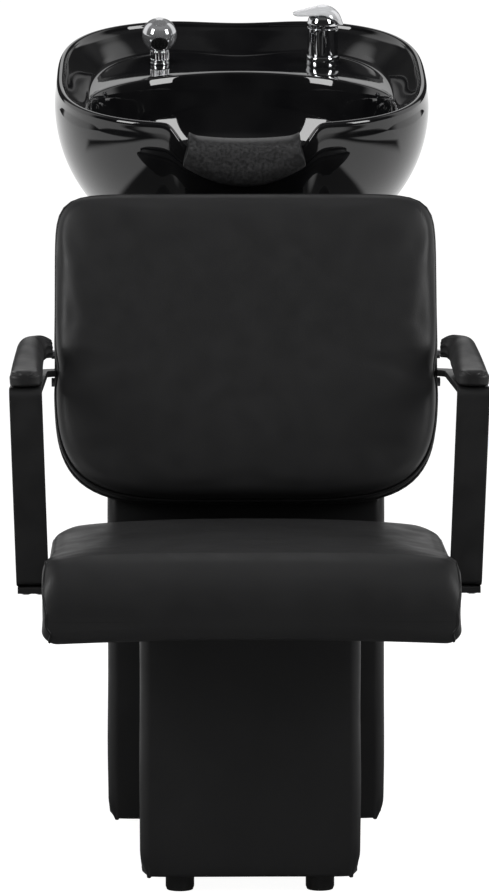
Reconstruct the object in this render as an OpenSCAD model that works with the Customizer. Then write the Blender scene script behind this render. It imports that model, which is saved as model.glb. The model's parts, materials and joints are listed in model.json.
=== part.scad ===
// Salon wash unit: upholstered chair, two-part pedestal and tilting ceramic bowl with taps.
// Millimetres. X across, Y from the seat front to the bowl rear, Z up from the floor.

/* [Pedestal] */
// Height of the rubber feet
foot_h = 25; // [15:1:40]
// Diameter of the rubber feet
foot_d = 35; // [25:1:45]
// Width of the front box over its cover
front_box_w = 268; // [240:2:300]
// Distance from the seat front to the front box
front_box_setback = 120; // [90:5:140]
// Width of the rear box over its cover
rear_box_w = 353; // [330:1:380]
// How far the rear box goes behind the tilt pivot
rear_margin = 80.4; // [76:0.2:90]
// Height of the rear box top above the floor
rear_box_top = 670; // [655:1:676]
// Thickness of the pedestal boards
board_t = 15; // [12:1:18]
// Thickness of the padded vinyl cover on the boards
cover_t = 5; // [4.5:0.5:6]
// Radius of the covered vertical edges
cover_r = 14; // [10:1:15]
// Thickness of the rear access panel
panel_t = 12; // [9:1:15]
// Diameter of the finger hole in the access panel
finger_hole_d = 30; // [24:1:36]

/* [Seat] */
// Width of the seat cushion at its front corners
seat_w = 500; // [480:2:520]
// Depth of the seat
seat_d = 450; // [440:1:454]
// Height of the underside of the seat board
seat_under = 365; // [355:1:380]
// Thickness of the seat board
seat_board_t = 15; // [12:1:18]
// Thickness of the seat cushion over the board at its edges
seat_edge_t = 36; // [30:1:42]
// Extra height of the seat cushion at its middle
seat_crown = 12; // [6:1:18]
// How far the front lip of the cushion hangs below the board
seat_lip = 33; // [20:1:40]

/* [Arms] */
// Width of the flat steel bar
bar_w = 40; // [34:1:42]
// Thickness of the flat steel bar
bar_t = 8; // [6:1:9]
// Height of the folded top edge of the arm above the floor
arm_top = 614; // [600:1:625]
// Distance from the seat front to the folded top edge
arm_front = 170; // [160:1:190]
// Distance from the seat front to the foot of the arm
arm_foot_front = 200; // [195:1:215]
// How far the middle of an arm foot stands outside the seat
arm_out = 15; // [14:0.5:18]
// Width of the arm pads
pad_w = 38; // [34:1:42]
// Height of the arm pads over the bar at the front
pad_front_h = 20; // [16:1:26]
// Height of the arm pads over the bar at the rear
pad_rear_h = 48; // [36:1:52]

/* [Backrest] */
// Width of the backrest
back_w = 482; // [470:1:486]
// Length of the backrest along its lean
back_h = 398; // [380:1:405]
// Lean of the backrest from the vertical
back_lean = 17.6; // [15:0.2:18.6]
// How far the foot of the backrest stands before the rear of the seat
back_setin = 65; // [62:1:72]
// Height of the lower front edge of the backrest
back_low = 448.6; // [444:0.2:456]
// Thickness of the backrest cushion
back_cushion_t = 31; // [26:1:33]
// Thickness of the backrest core board
back_board_t = 21; // [18:1:24]
// Thickness of the padded rear shell
back_shell_t = 13; // [9:1:14]

/* [Bowl] */
// Width of the bowl over its widest line
bowl_w = 500; // [480:2:510]
// Length of the bowl over its rim
bowl_l = 586; // [570:1:600]
// Height of the bowl from its base to its rim plane
bowl_h = 220; // [214:1:226]
// Tilt of the rim plane, rising to the rear
bowl_tilt = 11; // [8:0.5:12]
// Distance from the rear of the seat to the front of the rim
bowl_gap = 170; // [162:1:180]
// Height of the front of the rim
bowl_rim_z = 907; // [902:1:914]
// Thickness of the rim
rim_t = 10.7; // [8:0.1:12]
// Depth of the tap deck below the rim
deck_drop = 38; // [32:1:42]
// Thickness of the tap deck and of the basin wall
china_t = 12; // [10:0.5:13]
// Depth of the basin floor below the rim
basin_h = 168; // [158:1:172]
// Depth of the neck notch
notch_h = 37; // [30:1:44]
// Width of the neck notch
notch_w = 202; // [190:2:220]
// Width of the neck rest
neck_rest_w = 152; // [140:2:160]

/* [Tilt bracket] */
// Thickness of the bracket and cradle plates
plate_t = 4; // [3:0.5:5]
// Diameter of the pivot pins
pivot_d = 10; // [8:0.5:12]
// Radial clearance of the pivot pins
pivot_gap = 0.05; // [0.02:0.01:0.1]
// Radius from the pivot to the lock stud
lock_r = 34; // [32:1:36]
// Diameter of the lock stud
lock_d = 8; // [6:0.5:9]
// Diameter of the lock knob
knob_d = 38; // [32:1:40]
// Tilt that lowers the front of the rim from rest
tilt_down = 6; // [4:0.5:7]
// Tilt that brings the rim level from rest
tilt_up = 11; // [8:0.5:11]

/* [Drain] */
// Outside diameter of the drain tailpiece
tail_d = 40; // [34:1:42]
// Wall of the drain tubes
tail_wall = 2; // [1.5:0.1:3]
// Diameter of the drain flange
drain_flange_d = 64; // [58:1:68]

/* [Mixer] */
// Distance of the mixer from the middle of the bowl
mixer_x = 115; // [108:1:122]
// Distance of the mixer from the rear of the bowl
mixer_back = 114; // [106:1:120]
// Diameter of the mixer body
mixer_d = 42.6; // [38:0.2:44]
// Height of the mixer base ring
mixer_ring_h = 13; // [9:1:15]
// Height of the mixer body above the deck
mixer_h = 51.5; // [48:0.5:56]
// Thickness of the mixer lever
lever_t = 4.8; // [4:0.1:6]

/* [Spray] */
// Distance of the hand spray from the middle of the bowl
spray_x = 110; // [106:1:118]
// Distance of the hand spray from the rear of the bowl
spray_back = 114; // [108:1:120]
// Diameter of the spray head
spray_d = 48; // [46:1:50]
// Diameter of the spray collar
collar_d = 27; // [26:0.5:28]
// Height of the spray holder above the deck
holder_h = 5.4; // [5:0.2:8]
// Height of the ribbed collar
collar_h = 14; // [12:0.5:16]

/* [Hidden] */
$fn = 64;
FREE = 0.3;
SNUG = 0.05;
bowl_rings = 72;
bowl_mid = 270;
wash_centre_v = 240;
basin_rear = bowl_l - 167;
mixer_v = bowl_l - mixer_back;
spray_v = bowl_l - spray_back;

// Heights and places in the seat frame
back_front = seat_d - back_setin;
bowl_front = seat_d + bowl_gap;
arm_span = seat_w + 2 * arm_out;
front_box_back = back_front + 72;
front_half = front_box_w / 2;
rear_half = rear_box_w / 2;
front_inner = front_half - cover_t;
rear_inner = rear_half - cover_t;
rear_box_front = front_box_back;
bar_z = seat_under - bar_t;
seat_top = seat_under + seat_board_t;
seat_side_half = seat_w / 2 - 6.5;
seat_board_half = seat_side_half - 3.5;
back_depth = back_cushion_t + back_board_t + back_shell_t;
back_gap = 10;
core_half = back_w / 2 - 5;
end_plate_out = 7;

// Arm geometry in its own frame, with its origin at the outer foot centre
arm_lean = 1.6;
arm_forward = arm_foot_front - arm_front;
arm_lift = bar_w / 2 * sin(arm_lean) + SNUG;
arm_rise = arm_top - seat_under - arm_lift;
run_slope = 2.4;
turn_r = arm_span / 2 + arm_rise * sin(arm_lean) - bar_w / 2 - back_w / 2 - 1.6;
turn_y = back_front + 62 - arm_front;
bend_in = 4;
bend_out = bend_in + bar_t;
// Centres of the two bends, and the end of the run where it turns, as Y and Z
foot_bend = [arm_foot_front + bend_out, bend_out];
fold_bend = [arm_front + bend_out, arm_rise - bend_out];
run_end = fold_bend + bend_out * [sin(run_slope), cos(run_slope)]
    + (turn_y - bend_out) * [cos(run_slope), -sin(run_slope)];
pad_straight = turn_y - 52;
pad_r = turn_r + 24;
pad_end = pad_straight + pad_r * 78 * PI / 180;

// Bowl frame
bowl_half = bowl_w / 2;
bowl_back = bowl_l - 12;
base_w = -bowl_h;
pad_t = 3;
cradle_w = base_w - pad_t - plate_t;
pivot_v = wash_centre_v;
pivot_w = cradle_w - 30;
ear_x = 84;
ear_gap = 0.5;
pivot_y = bowl_front + pivot_v * cos(bowl_tilt) - pivot_w * sin(bowl_tilt);
pivot_z = bowl_rim_z + pivot_v * sin(bowl_tilt) + pivot_w * cos(bowl_tilt);
rear_box_rear = pivot_y + rear_margin;
lock_angle = 4;
flange_t = 14;
flange_run = 32;
floor_under = basin_h + china_t + 2;
tail_r = tail_d / 2;
sleeve_r = tail_r + 2;
tail_end = -pivot_w + 43;
deck_w = -deck_drop;
// The body is fullest a little below the rim
overall_d = bowl_front + bowl_back * cos(bowl_tilt) + 22 * sin(bowl_tilt);

// Colours
vinyl = [0.09, 0.09, 0.095];
plywood = [0.72, 0.58, 0.4];
steel_black = [0.12, 0.12, 0.13];
zinc = [0.68, 0.68, 0.7];
chrome = [0.85, 0.86, 0.88];
rubber = [0.2, 0.2, 0.2];
china = [0.03, 0.03, 0.03];
brass = [0.78, 0.62, 0.3];

// Moves a piece from the seat frame to the middle of the whole unit
module placed() translate([0, -overall_d / 2, 0]) children();

// Frame of the backrest: X across, Y to the rear through its thickness, Z up along its lean
module back_frame() translate([0, back_front, back_low]) rotate([-back_lean, 0, 0]) children();

// Frame of one arm, side 1 on the right and -1 on the left
module arm_frame(side) {
    translate([side * arm_span / 2, 0, seat_under + arm_lift])
        rotate([0, side * arm_lean, 0])
            children();
}

// Frame of the top run of an arm, with its origin on the upper face at the fold
module run_frame(side) {
    arm_frame(side)
        translate([0, fold_bend[0], fold_bend[1]])
            rotate([-run_slope, 0, 0])
                translate([0, -bend_out, bend_out])
                    children();
}

// Frame of the bowl: X across, Y to the rear along the rim plane, Z square to it
module bowl_frame() translate([0, bowl_front, bowl_rim_z]) rotate([bowl_tilt, 0, 0]) children();

// Rectangle about the origin with four round corners
module rounded_rect(w, d, r) {
    square([w - 2 * r, d], center = true);
    square([w, d - 2 * r], center = true);
    for (x = [-1, 1], y = [-1, 1])
        translate([x * (w / 2 - r), y * (d / 2 - r)])
            circle(r);
}

// Rectangle from y0 to y1 whose two corners at y0 are round
module round_front_rect(half, y0, y1, r) {
    translate([-half, y0 + r])
        square([2 * half, y1 - y0 - r]);
    translate([-half + r, y0])
        square([2 * (half - r), r + 1]);
    for (x = [-1, 1])
        translate([x * (half - r), y0 + r])
            circle(r);
}

// Middle of a ring of points
function middle(ring) = [for (axis = [0 : 2]) [for (p = ring) p[axis]] * [for (p = ring) 1] / len(ring)];

// Closed skin over rings of equal point count, with flat or fanned ends unless it closes on itself
module skin(rings, closed = false, fan = false) {
    n = len(rings[0]);
    m = len(rings);
    points = concat([for (ring = rings) each ring], fan ? [middle(rings[0]), middle(rings[m - 1])] : []);
    sides = [
        for (i = [0 : closed ? m - 1 : m - 2], j = [0 : n - 1])
            let(a = i * n, b = ((i + 1) % m) * n, k = (j + 1) % n)
            each [[a + j, a + k, b + k], [a + j, b + k, b + j]]
    ];
    flat_ends = [
        [for (j = [0 : n - 1]) n - 1 - j],
        [for (j = [0 : n - 1]) (m - 1) * n + j]
    ];
    fan_ends = [
        for (j = [0 : n - 1])
            let(k = (j + 1) % n, last = (m - 1) * n)
            each [[k, j, m * n], [last + j, last + k, m * n + 1]]
    ];
    ends = closed ? [] : fan ? fan_ends : flat_ends;
    polyhedron(points = points, faces = concat(sides, ends), convexity = 8);
}

// Hexagonal nut or bolt head on the Z axis
module hexagon(across, h) cylinder(r = across / sqrt(3), h = h, $fn = 6);

// Signed power, for curves with fuller corners than an ellipse
function full(x, p) = sign(x) * pow(abs(x), p);
function clamp01(x) = max(0, min(1, x));
function smooth(x) = let(c = clamp01(x)) c * c * (3 - 2 * c);
function mix(a, b, t) = a + (b - a) * t;
function ray(a) = [cos(a), sin(a)];

// Pedestal

module front_box_carcass() {
    depth = front_box_back - front_box_setback - cover_t;
    height = bar_z - foot_h;
    color(plywood)
        translate([0, front_box_setback + cover_t, foot_h])
            difference() {
                translate([-front_inner, 0, 0])
                    cube([2 * front_inner, depth, height]);
                translate([-front_inner + board_t, board_t, board_t])
                    cube([2 * (front_inner - board_t), depth - 2 * board_t, height - 2 * board_t]);
                translate([0, depth - board_t / 2, height / 2])
                    cube([2 * (front_inner - 3 * board_t), board_t + 2, height / 3], center = true);
                box_bolt_places(front_box_setback + cover_t, foot_h)
                    rotate([-90, 0, 0])
                        translate([0, 0, depth - board_t - 1])
                            cylinder(d = 8.6, h = board_t + 2);
            }
}

module front_box_cover() {
    color(vinyl)
        translate([0, 0, foot_h])
            linear_extrude(bar_z - foot_h)
                difference() {
                    round_front_rect(front_half, front_box_setback, front_box_back, cover_r);
                    translate([-front_inner, front_box_setback + cover_t])
                        square([2 * front_inner, front_box_back]);
                }
}

// Places of the four bolts that join the two boxes, seen from a corner at y and z
module box_bolt_places(y, z) {
    for (x = [-1, 1], height = [95, 295])
        translate([x * (front_inner - board_t - 16), 0, height - z])
            children();
}

// Side outline of the rear box, drawn in from its outside by an inset
module rear_side_outline(inset, rear, low, high) {
    lean = tan(back_lean);
    slope_foot_y = back_front + (back_depth + back_gap) * cos(back_lean);
    slope_foot_z = back_low - (back_depth + back_gap) * sin(back_lean);
    front = rear_box_front + inset;
    slope_in = inset / cos(back_lean);
    polygon([
        [front, low],
        [front, slope_foot_z + (front - slope_foot_y - slope_in) / lean],
        [slope_foot_y + slope_in + (high - slope_foot_z) * lean, high],
        [rear, high],
        [rear, low]
    ]);
}

// Prism of the side outline across X
module rear_prism(half, inset, rear, low, high) {
    rotate([90, 0, 90])
        translate([0, 0, -half])
            linear_extrude(2 * half)
                rear_side_outline(inset, rear, low, high);
}

module rear_box_sides() {
    color(plywood)
        for (x = [-1, 1])
            translate([x * (rear_inner - board_t / 2), 0, 0])
                rear_prism(board_t / 2, cover_t, rear_box_rear, foot_h, rear_box_top - cover_t);
}

module rear_box_front_boards() {
    between = rear_inner - board_t;
    color(plywood)
        difference() {
            rear_prism(
                between,
                cover_t + SNUG,
                rear_box_rear,
                foot_h + board_t,
                rear_box_top - cover_t - board_t
            );
            rear_prism(
                between + 1,
                cover_t + board_t,
                rear_box_rear + 1,
                foot_h,
                rear_box_top
            );
            box_bolt_places(0, 0)
                translate([0, rear_box_front - 1, 0])
                    rotate([-90, 0, 0])
                        cylinder(d = 8.6, h = board_t + cover_t + 4);
            back_bolt_places()
                cylinder(d = 8.6, h = back_depth + back_gap + cover_t + board_t + 9);
        }
}

module rear_box_top_board() {
    between = rear_inner - board_t;
    color(plywood)
        difference() {
            intersection() {
                rear_prism(between, cover_t, rear_box_rear, foot_h, rear_box_top - cover_t);
                translate([-rear_half, 0, rear_box_top - cover_t - board_t])
                    cube([rear_box_w, overall_d, board_t + 1]);
            }
            top_opening();
            bracket_screw_places()
                translate([0, 0, -board_t - cover_t - 1])
                    cylinder(d = 5.2, h = board_t + cover_t + 2);
        }
}

// Way for the hoses and the drain through the top of the rear box
module top_opening() {
    translate([0, pivot_y + 6, rear_box_top - board_t - cover_t - 1])
        linear_extrude(board_t + cover_t + 2)
            rounded_rect(116, 116, 20);
}

module rear_box_floor() {
    color(plywood)
        translate([-rear_inner + board_t, rear_box_front + cover_t, foot_h])
            cube([2 * (rear_inner - board_t), rear_box_rear - rear_box_front - cover_t, board_t]);
}

// Rails at the foot and head of the rear opening
module rear_box_rails() {
    between = rear_inner - board_t;
    top_rail = rear_box_top - cover_t - board_t;
    color(plywood)
        for (span = [[foot_h + board_t, panel_low + 28], [panel_high - 18, top_rail]])
            translate([-between, rear_box_rear - board_t, span[0]])
                cube([2 * between, board_t, span[1] - span[0]]);
}

module rear_box_cover() {
    color(vinyl)
        difference() {
            intersection() {
                linear_extrude(rear_box_top)
                    round_front_rect(rear_half, rear_box_front, rear_box_rear, cover_r);
                rear_prism(rear_half + 1, 0, rear_box_rear, foot_h, rear_box_top);
            }
            rear_prism(rear_inner, cover_t, rear_box_rear + 1, foot_h - 1, rear_box_top - cover_t);
            top_opening();
            box_bolt_places(0, 0)
                translate([0, rear_box_front - 1, 0])
                    rotate([-90, 0, 0])
                        cylinder(d = 8.6, h = cover_t + 2);
            back_bolt_places()
                cylinder(d = 8.6, h = back_depth + back_gap + cover_t + 9);
            bracket_screw_places()
                translate([0, 0, -cover_t - 1])
                    cylinder(d = 5.2, h = cover_t + 2);
        }
}

module box_bolts() {
    grip_start = front_box_back - board_t;
    grip = 2 * board_t + cover_t;
    color(zinc)
        box_bolt_places(0, 0)
            translate([0, grip_start, 0])
                rotate([-90, 0, 0]) {
                    translate([0, 0, -6])
                        hexagon(13, 6);
                    cylinder(d = 8, h = grip + 7);
                    translate([0, 0, grip])
                        hexagon(13, 6.5);
                }
}

module feet() {
    color(rubber)
        foot_places() {
            cylinder(d1 = foot_d - 3, d2 = foot_d, h = 4);
            translate([0, 0, 4])
                cylinder(d = foot_d, h = foot_h - 4);
        }
}

// Six places: two under the front box and four under the rear box
module foot_places() {
    front_x = front_half - 48.4;
    rear_x = rear_half - 71.5;
    for (x = [-1, 1]) {
        translate([x * front_x, front_box_setback + 30, 0])
            children();
        translate([x * rear_x, rear_box_front + 45, 0])
            children();
        translate([x * rear_x, rear_box_rear - 45, 0])
            children();
    }
}

panel_low = foot_h + 35;
panel_high = rear_box_top - 40;
panel_half = rear_half - 26.5;

module access_panel() {
    color(vinyl)
        translate([0, rear_box_rear, 0])
            difference() {
                rotate([-90, 0, 0])
                    translate([0, -(panel_low + panel_high) / 2, 0])
                        linear_extrude(panel_t)
                            rounded_rect(2 * panel_half, panel_high - panel_low, 12);
                translate([0, -1, panel_high - 42])
                    rotate([-90, 0, 0])
                        cylinder(d = finger_hole_d, h = panel_t + 2);
            }
}

// Catches behind the four corners of the access panel
module panel_magnets() {
    inner = rear_inner - board_t;
    color(zinc)
        for (x = [-1, 1], z = [panel_low + 50, panel_high - 70])
            translate([x * (inner - 12) - 12, rear_box_rear - 14, z])
                cube([24, 14, 30]);
}

// Ledge that the access panel stands on
module panel_ledge() {
    color(steel_black)
        translate([-90, rear_box_rear, panel_low - 14])
            cube([180, panel_t - 1, 14 - FREE]);
}

// Seat

module seat_board() {
    front = 56;
    rear = seat_d - 10;
    color(vinyl)
        difference() {
            translate([0, (front + rear) / 2, seat_under])
                linear_extrude(seat_board_t)
                    rounded_rect(2 * seat_board_half, rear - front, 55);
            seat_bolt_places()
                translate([0, 0, -bar_t - 1])
                    cylinder(d = 6.4, h = seat_board_t + 2 + bar_t);
        }
}

// Half width of the seat cushion at a distance from its front
function seat_half(y) =
    let(
        waist = mix(seat_w / 2, seat_side_half, smooth((y - 90) / 100)),
        tail = clamp01((y - (seat_d - 90)) / 90),
        nose = clamp01((14 - y) / 14)
    )
    waist - 70 * (1 - sqrt(1 - tail * tail)) - 6 * nose * nose;

// Top and underside of the seat cushion along its middle
function seat_upper(y) =
    let(nose = clamp01((46 - y) / 46), tail = clamp01((y - (seat_d - 40)) / 40))
    mix(
        seat_under - 6,
        seat_top + seat_edge_t + seat_crown - 10 * tail * tail,
        sqrt(1 - nose * nose)
    );
function seat_lower(y) =
    let(nose = clamp01((16 - y) / 16))
    y < 53 ? mix(seat_under - 14, seat_under - seat_lip, sqrt(1 - nose * nose)) : seat_top + FREE;

// One upright section of the seat cushion, flatter below and crowned above
function seat_section(y) =
    let(half = seat_half(y), high = seat_upper(y), low = seat_lower(y), mid = (high + low) / 2)
    [
        for (i = [0 : 39])
            let(
                a = i * 9,
                x = half * full(cos(a), 0.26),
                crown = sin(a) > 0 ? seat_crown * pow(abs(x / half), 2.4) : 0
            )
            [x, y, mid + (high - low) / 2 * full(sin(a), 0.36) - crown]
    ];

module seat_cushion() {
    stations = concat(
        [0.4, 3, 8, 16, 28, 42, 52.5, 53.5],
        [for (i = [1 : 9]) mix(53.5, seat_d - 90, i / 10)],
        [for (i = [0 : 6]) seat_d - 90 + 90 * sin(14.2 * i)]
    );
    color(vinyl)
        skin([for (y = stations) seat_section(y)], fan = true);
}

// Bar under the seat that joins the two arm feet
module cross_bar() {
    half = arm_span / 2 + bar_w / 2 - 1.5;
    color(steel_black)
        difference() {
            translate([-half, arm_foot_front, bar_z])
                cube([2 * half, bar_w, bar_t]);
            seat_bolt_places()
                translate([0, 0, -bar_t - 1])
                    cylinder(d = 6.4, h = bar_t + 2);
            arm_foot_bolt_places()
                translate([0, 0, -bar_t - 1])
                    cylinder(d = 6.4, h = bar_t + 2);
        }
}

module seat_spacer() {
    color(plywood)
        difference() {
            translate([-front_inner + 12, seat_d - 62, bar_z])
                cube([2 * (front_inner - 12), 40, bar_t]);
            seat_bolt_places()
                translate([0, 0, -bar_t - 1])
                    cylinder(d = 6.4, h = bar_t + 2);
        }
}

module seat_bolt_places() {
    for (x = [-1, 1], y = [arm_foot_front + bar_w / 2, seat_d - 42])
        translate([x * (front_inner - 32), y, seat_under])
            children();
}

module arm_foot_bolt_places() {
    for (x = [-1, 1], dx = [-9, 9])
        translate([x * arm_span / 2 + dx, arm_foot_front + bar_w / 2 + 5, seat_under])
            children();
}

module seat_bolts() {
    color(zinc)
        seat_bolt_places()
            translate([0, 0, -bar_t])
                cylinder(d = 6, h = bar_t + seat_board_t - 1);
}

// Arms

// Points of a bend between two angles about its centre
function bend(centre, r, from, to) = [for (i = [0 : 8]) centre + r * ray(mix(from, to, i / 8))];

// Side view of the bent bar: foot flange, leaning upright, fold and the sloped run up to its turn
module arm_side_view() {
    lean = atan(arm_forward / (arm_rise - bar_t));
    polygon(concat(
        [[arm_foot_front + bar_w, bar_t], [arm_foot_front + bar_w, 0]],
        bend(foot_bend, bend_out, 270, 180 + lean),
        bend(fold_bend, bend_out, 180 + lean, 90 - run_slope),
        [run_end, run_end - bar_t * [sin(run_slope), cos(run_slope)]],
        bend(fold_bend, bend_in, 90 - run_slope, 180 + lean),
        bend(foot_bend, bend_in, 180 + lean, 270)
    ));
}

// Quarter turn of the run towards the backrest, in the arm frame
module arm_turn() {
    slim = 0.15;
    translate([0, run_end[0], run_end[1]])
        rotate([-run_slope, 0, 0])
            translate([-bar_w / 2 - turn_r, -1, slim - bar_t])
                rotate_extrude(angle = 90)
                    translate([turn_r + slim, 0])
                        square([bar_w - 2 * slim, bar_t - 2 * slim]);
}

// Plate that seats on the edge of the backrest core
module arm_end_plate() {
    back_frame()
        translate([core_half + FREE, back_cushion_t + 1, 146])
            cube([end_plate_out - FREE, back_board_t - 2, 60]);
}

module arm_bar(side) {
    color(steel_black)
        mirror([side < 0 ? 1 : 0, 0, 0])
            difference() {
                union() {
                    arm_frame(1) {
                        rotate([90, 0, 90])
                            translate([0, 0, -bar_w / 2])
                                linear_extrude(bar_w)
                                    arm_side_view();
                        arm_turn();
                    }
                    arm_end_plate();
                }
                for (dx = [-9, 9])
                    translate([arm_span / 2 + dx, arm_foot_front + bar_w / 2 + 5, seat_under - 2])
                        cylinder(d = 6.4, h = bar_t + 4);
                pad_screw_places(1)
                    translate([0, 0, -bar_t - 1])
                        cylinder(d = 5.4, h = bar_t + 2);
                arm_back_bolt_places(1)
                    cylinder(d = 6.4, h = 30);
            }
}

module left_arm_bar() arm_bar(-1);
module right_arm_bar() arm_bar(1);

// Two screws up through the run into the pad
module pad_screw_places(side) {
    run_frame(side)
        for (y = [38, 190])
            translate([0, y, 0])
                children();
}

// Two bolts through the end plate into the backrest core
module arm_back_bolt_places(side) {
    back_frame()
        for (z = [158, 194])
            translate([side * (core_half - 20), back_cushion_t + back_board_t / 2, z])
                rotate([0, side * 90, 0])
                    children();
}

// Middle line of the arm pad in plan: straight, then curling to the backrest
function pad_turn(s) = max(0, (s - pad_straight) / pad_r * 180 / PI);
function pad_line(s) =
    [-pad_r + pad_r * cos(pad_turn(s)), min(s, pad_straight) + pad_r * sin(pad_turn(s))];

// One section of the arm pad square to its line
function pad_section(s) =
    let(
        p = pad_line(s),
        a = pad_turn(s),
        nose = clamp01((9 - s) / 9),
        tail = clamp01((s - pad_end + 22) / 22),
        round = sqrt(1 - 0.9 * nose * nose) * sqrt(1 - 0.75 * tail * tail),
        half = pad_w / 2 * round,
        rise = smooth(s / 250),
        high = mix(pad_front_h, pad_rear_h, rise) - 5 * nose * nose - 8 * tail * tail,
        low = FREE + 18 * smooth((s - turn_y + 62) / 50) + 3 * nose * nose
    )
    [
        for (i = [0 : 17])
            let(b = i * 20, x = half * full(cos(b), 0.5), z = (high - low) / 2 * full(sin(b), sin(b) < 0 ? 0.3 : 0.75))
            [p[0] + x * cos(a), p[1] + x * sin(a), (high + low) / 2 + z]
    ];

module arm_pad(side) {
    stations = [0, 3, 9, 40, 80, 120, 160, 200, 225, 240, 252, 262, pad_end - 4, pad_end];
    color(vinyl)
        mirror([side < 0 ? 1 : 0, 0, 0])
            run_frame(1)
                skin([for (s = stations) pad_section(s)]);
}

module left_arm_pad() arm_pad(-1);
module right_arm_pad() arm_pad(1);

module arm_pad_screws() {
    color(zinc)
        for (side = [-1, 1])
            pad_screw_places(side)
                translate([0, 0, -bar_t - 3]) {
                    cylinder(d = 9, h = 3);
                    cylinder(d = 5, h = 3 + bar_t);
                }
}

module arm_bolts() {
    color(zinc) {
        arm_foot_bolt_places()
            translate([0, 0, -bar_t - 4]) {
                hexagon(10, 4);
                cylinder(d = 6, h = 2 * bar_t + 4);
            }
        for (side = [-1, 1])
            arm_back_bolt_places(side) {
                cylinder(d = 6, h = 27);
                translate([0, 0, 20 + end_plate_out])
                    hexagon(10, 4);
            }
    }
}

// Backrest

// Half outline of a backrest layer: nearly straight sides, tight top and bowed foot
function back_outline(inset, foot_n, foot_out, side_out) = [
    for (i = [0 : 47])
        let(
            a = i * 7.5,
            n = sin(a) > 0 ? 11 : foot_n,
            half = back_w / 2 - inset + (sin(a) < 0.1 ? side_out : 0),
            rise = back_h / 2 - inset + (sin(a) < 0 ? foot_out : 0),
            r = pow(pow(abs(cos(a)) / half, n) + pow(abs(sin(a)) / rise, n), -1 / n)
        )
        [r * cos(a), back_h / 2 + r * sin(a)]
];

function layer(outline, y) = [for (p = outline) [p[0], y, p[1]]];

module back_board() {
    color(plywood)
        back_frame()
            translate([0, back_cushion_t, 0])
                difference() {
                    rotate([90, 0, 0])
                        translate([0, 0, -back_board_t])
                            linear_extrude(back_board_t)
                                polygon(back_outline(5, 4.5, 0, 0));
                    for (side = [-1, 1], z = [158, 194])
                        translate([side * (core_half - 22), back_board_t / 2, z])
                            rotate([0, side * 90, 0])
                                cylinder(d = 6.4, h = 40);
                    for (x = [-1, 1], z = [70, 210])
                        translate([x * 95, back_board_t - 14, z])
                            rotate([-90, 0, 0])
                                cylinder(d = 8.6, h = 20);
                }
}

// Crowned front cushion whose sides draw in towards its front face
module back_cushion() {
    depths = [
        [0, 46],
        [1.6, 30],
        [4.5, 17],
        [9, 8],
        [15, 2.5],
        [20, 0.5],
        [24, 0],
        [back_cushion_t - 3, 0.8],
        [back_cushion_t - FREE, 3]
    ];
    color(vinyl)
        back_frame()
            skin([for (d = depths) layer(back_outline(d[1], 4.5, 0, 0), d[0])], fan = true);
}

// Padded rear shell, fuller than the cushion at its lower corners
module back_shell() {
    start = back_cushion_t + back_board_t;
    depths = [[0, 3, 0], [3, 0.5, 0], [8, 3, 0], [back_shell_t - 2, 9, 0], [back_shell_t, 18, 0]];
    color(vinyl)
        back_frame()
            difference() {
                skin([for (d = depths) layer(back_outline(d[1], 6.5, 4, 1.5), start + d[0])], fan = true);
                back_bolt_places_local()
                    cylinder(d = 8.6, h = 60);
            }
}

module back_bolt_places_local() {
    for (x = [-1, 1], z = [70, 210])
        translate([x * 95, back_cushion_t + back_board_t - 13, z])
            rotate([-90, 0, 0])
                children();
}

// The same places in the seat frame, starting inside the backrest core
module back_bolt_places() back_frame() back_bolt_places_local() children();

module back_spacers() {
    color(steel_black)
        back_bolt_places()
            translate([0, 0, 13 + back_shell_t])
                difference() {
                    cylinder(d = 40, h = back_gap);
                    translate([0, 0, -1])
                        cylinder(d = 8.6, h = back_gap + 2);
                }
}

module back_bolts() {
    grip = 13 + back_shell_t + back_gap + cover_t + board_t;
    color(zinc)
        back_bolt_places() {
            cylinder(d = 8, h = grip);
            translate([0, 0, grip])
                hexagon(13, 6);
        }
}

// Bowl

bowl_angles = [for (i = [0 : bowl_rings - 1]) let(s = 2 * i / bowl_rings - 1) -90 + 180 * s * (0.58 + 0.42 * abs(s))];

// Point of an oval at a polar angle about the bowl centre, with its own front, rear and corner fullness
function oval(t, half, front, rear, front_n, rear_n) =
    let(
        back = sin(t) > 0,
        n = back ? rear_n : front_n,
        reach = back ? rear - bowl_mid : bowl_mid - front,
        r = pow(pow(abs(cos(t)) / half, n) + pow(abs(sin(t)) / reach, n), -1 / n)
    )
    [r * cos(t), bowl_mid + r * sin(t)];

// Draws the middle of the rear side in
function dented(p, depth, half) =
    p[1] > bowl_mid && abs(p[0]) < half ? [p[0], p[1] - depth * pow(cos(90 * p[0] / half), 2)] : p;

function outward(p, t, d) = p + d * [cos(t), sin(t)];
function at(p, w) = [p[0], p[1], w];

// Depth of the neck notch across the bowl, and along the rim from one section to the next
function notch_drop(x) = notch_h * smooth((notch_w / 2 - abs(x)) / 36);
function rim_lip(t) = dented(oval(t, bowl_half - 13, 0, bowl_back - rim_t, 3, 3.15), 17, 115);
rim_line = [for (t = bowl_angles) if (sin(t) < 0) [rim_lip(t)[0], notch_drop(rim_lip(t)[0])]];

// Size of the body outline at a depth, against its widest line
function body_share(w) =
    w > -30 ? 1 - 0.009 * pow((w + 30) / 30, 2) : sqrt(1 - pow((-30 - w) / bowl_h, 2));
function body_point(t, w) =
    let(
        k = body_share(w),
        n = mix(2.3, 3, clamp01((k - 0.5) * 2)),
        p = dented(oval(t, bowl_half, -12, bowl_back, n, n + 0.15 * k), 14 * k, 120)
    )
    [p[0] * k, bowl_mid + (p[1] - bowl_mid) * k];

// Basin outline drawn in towards the drain
function basin_point(edge, k) = [edge[0] * k, wash_centre_v + (edge[1] - wash_centre_v) * k];

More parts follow.
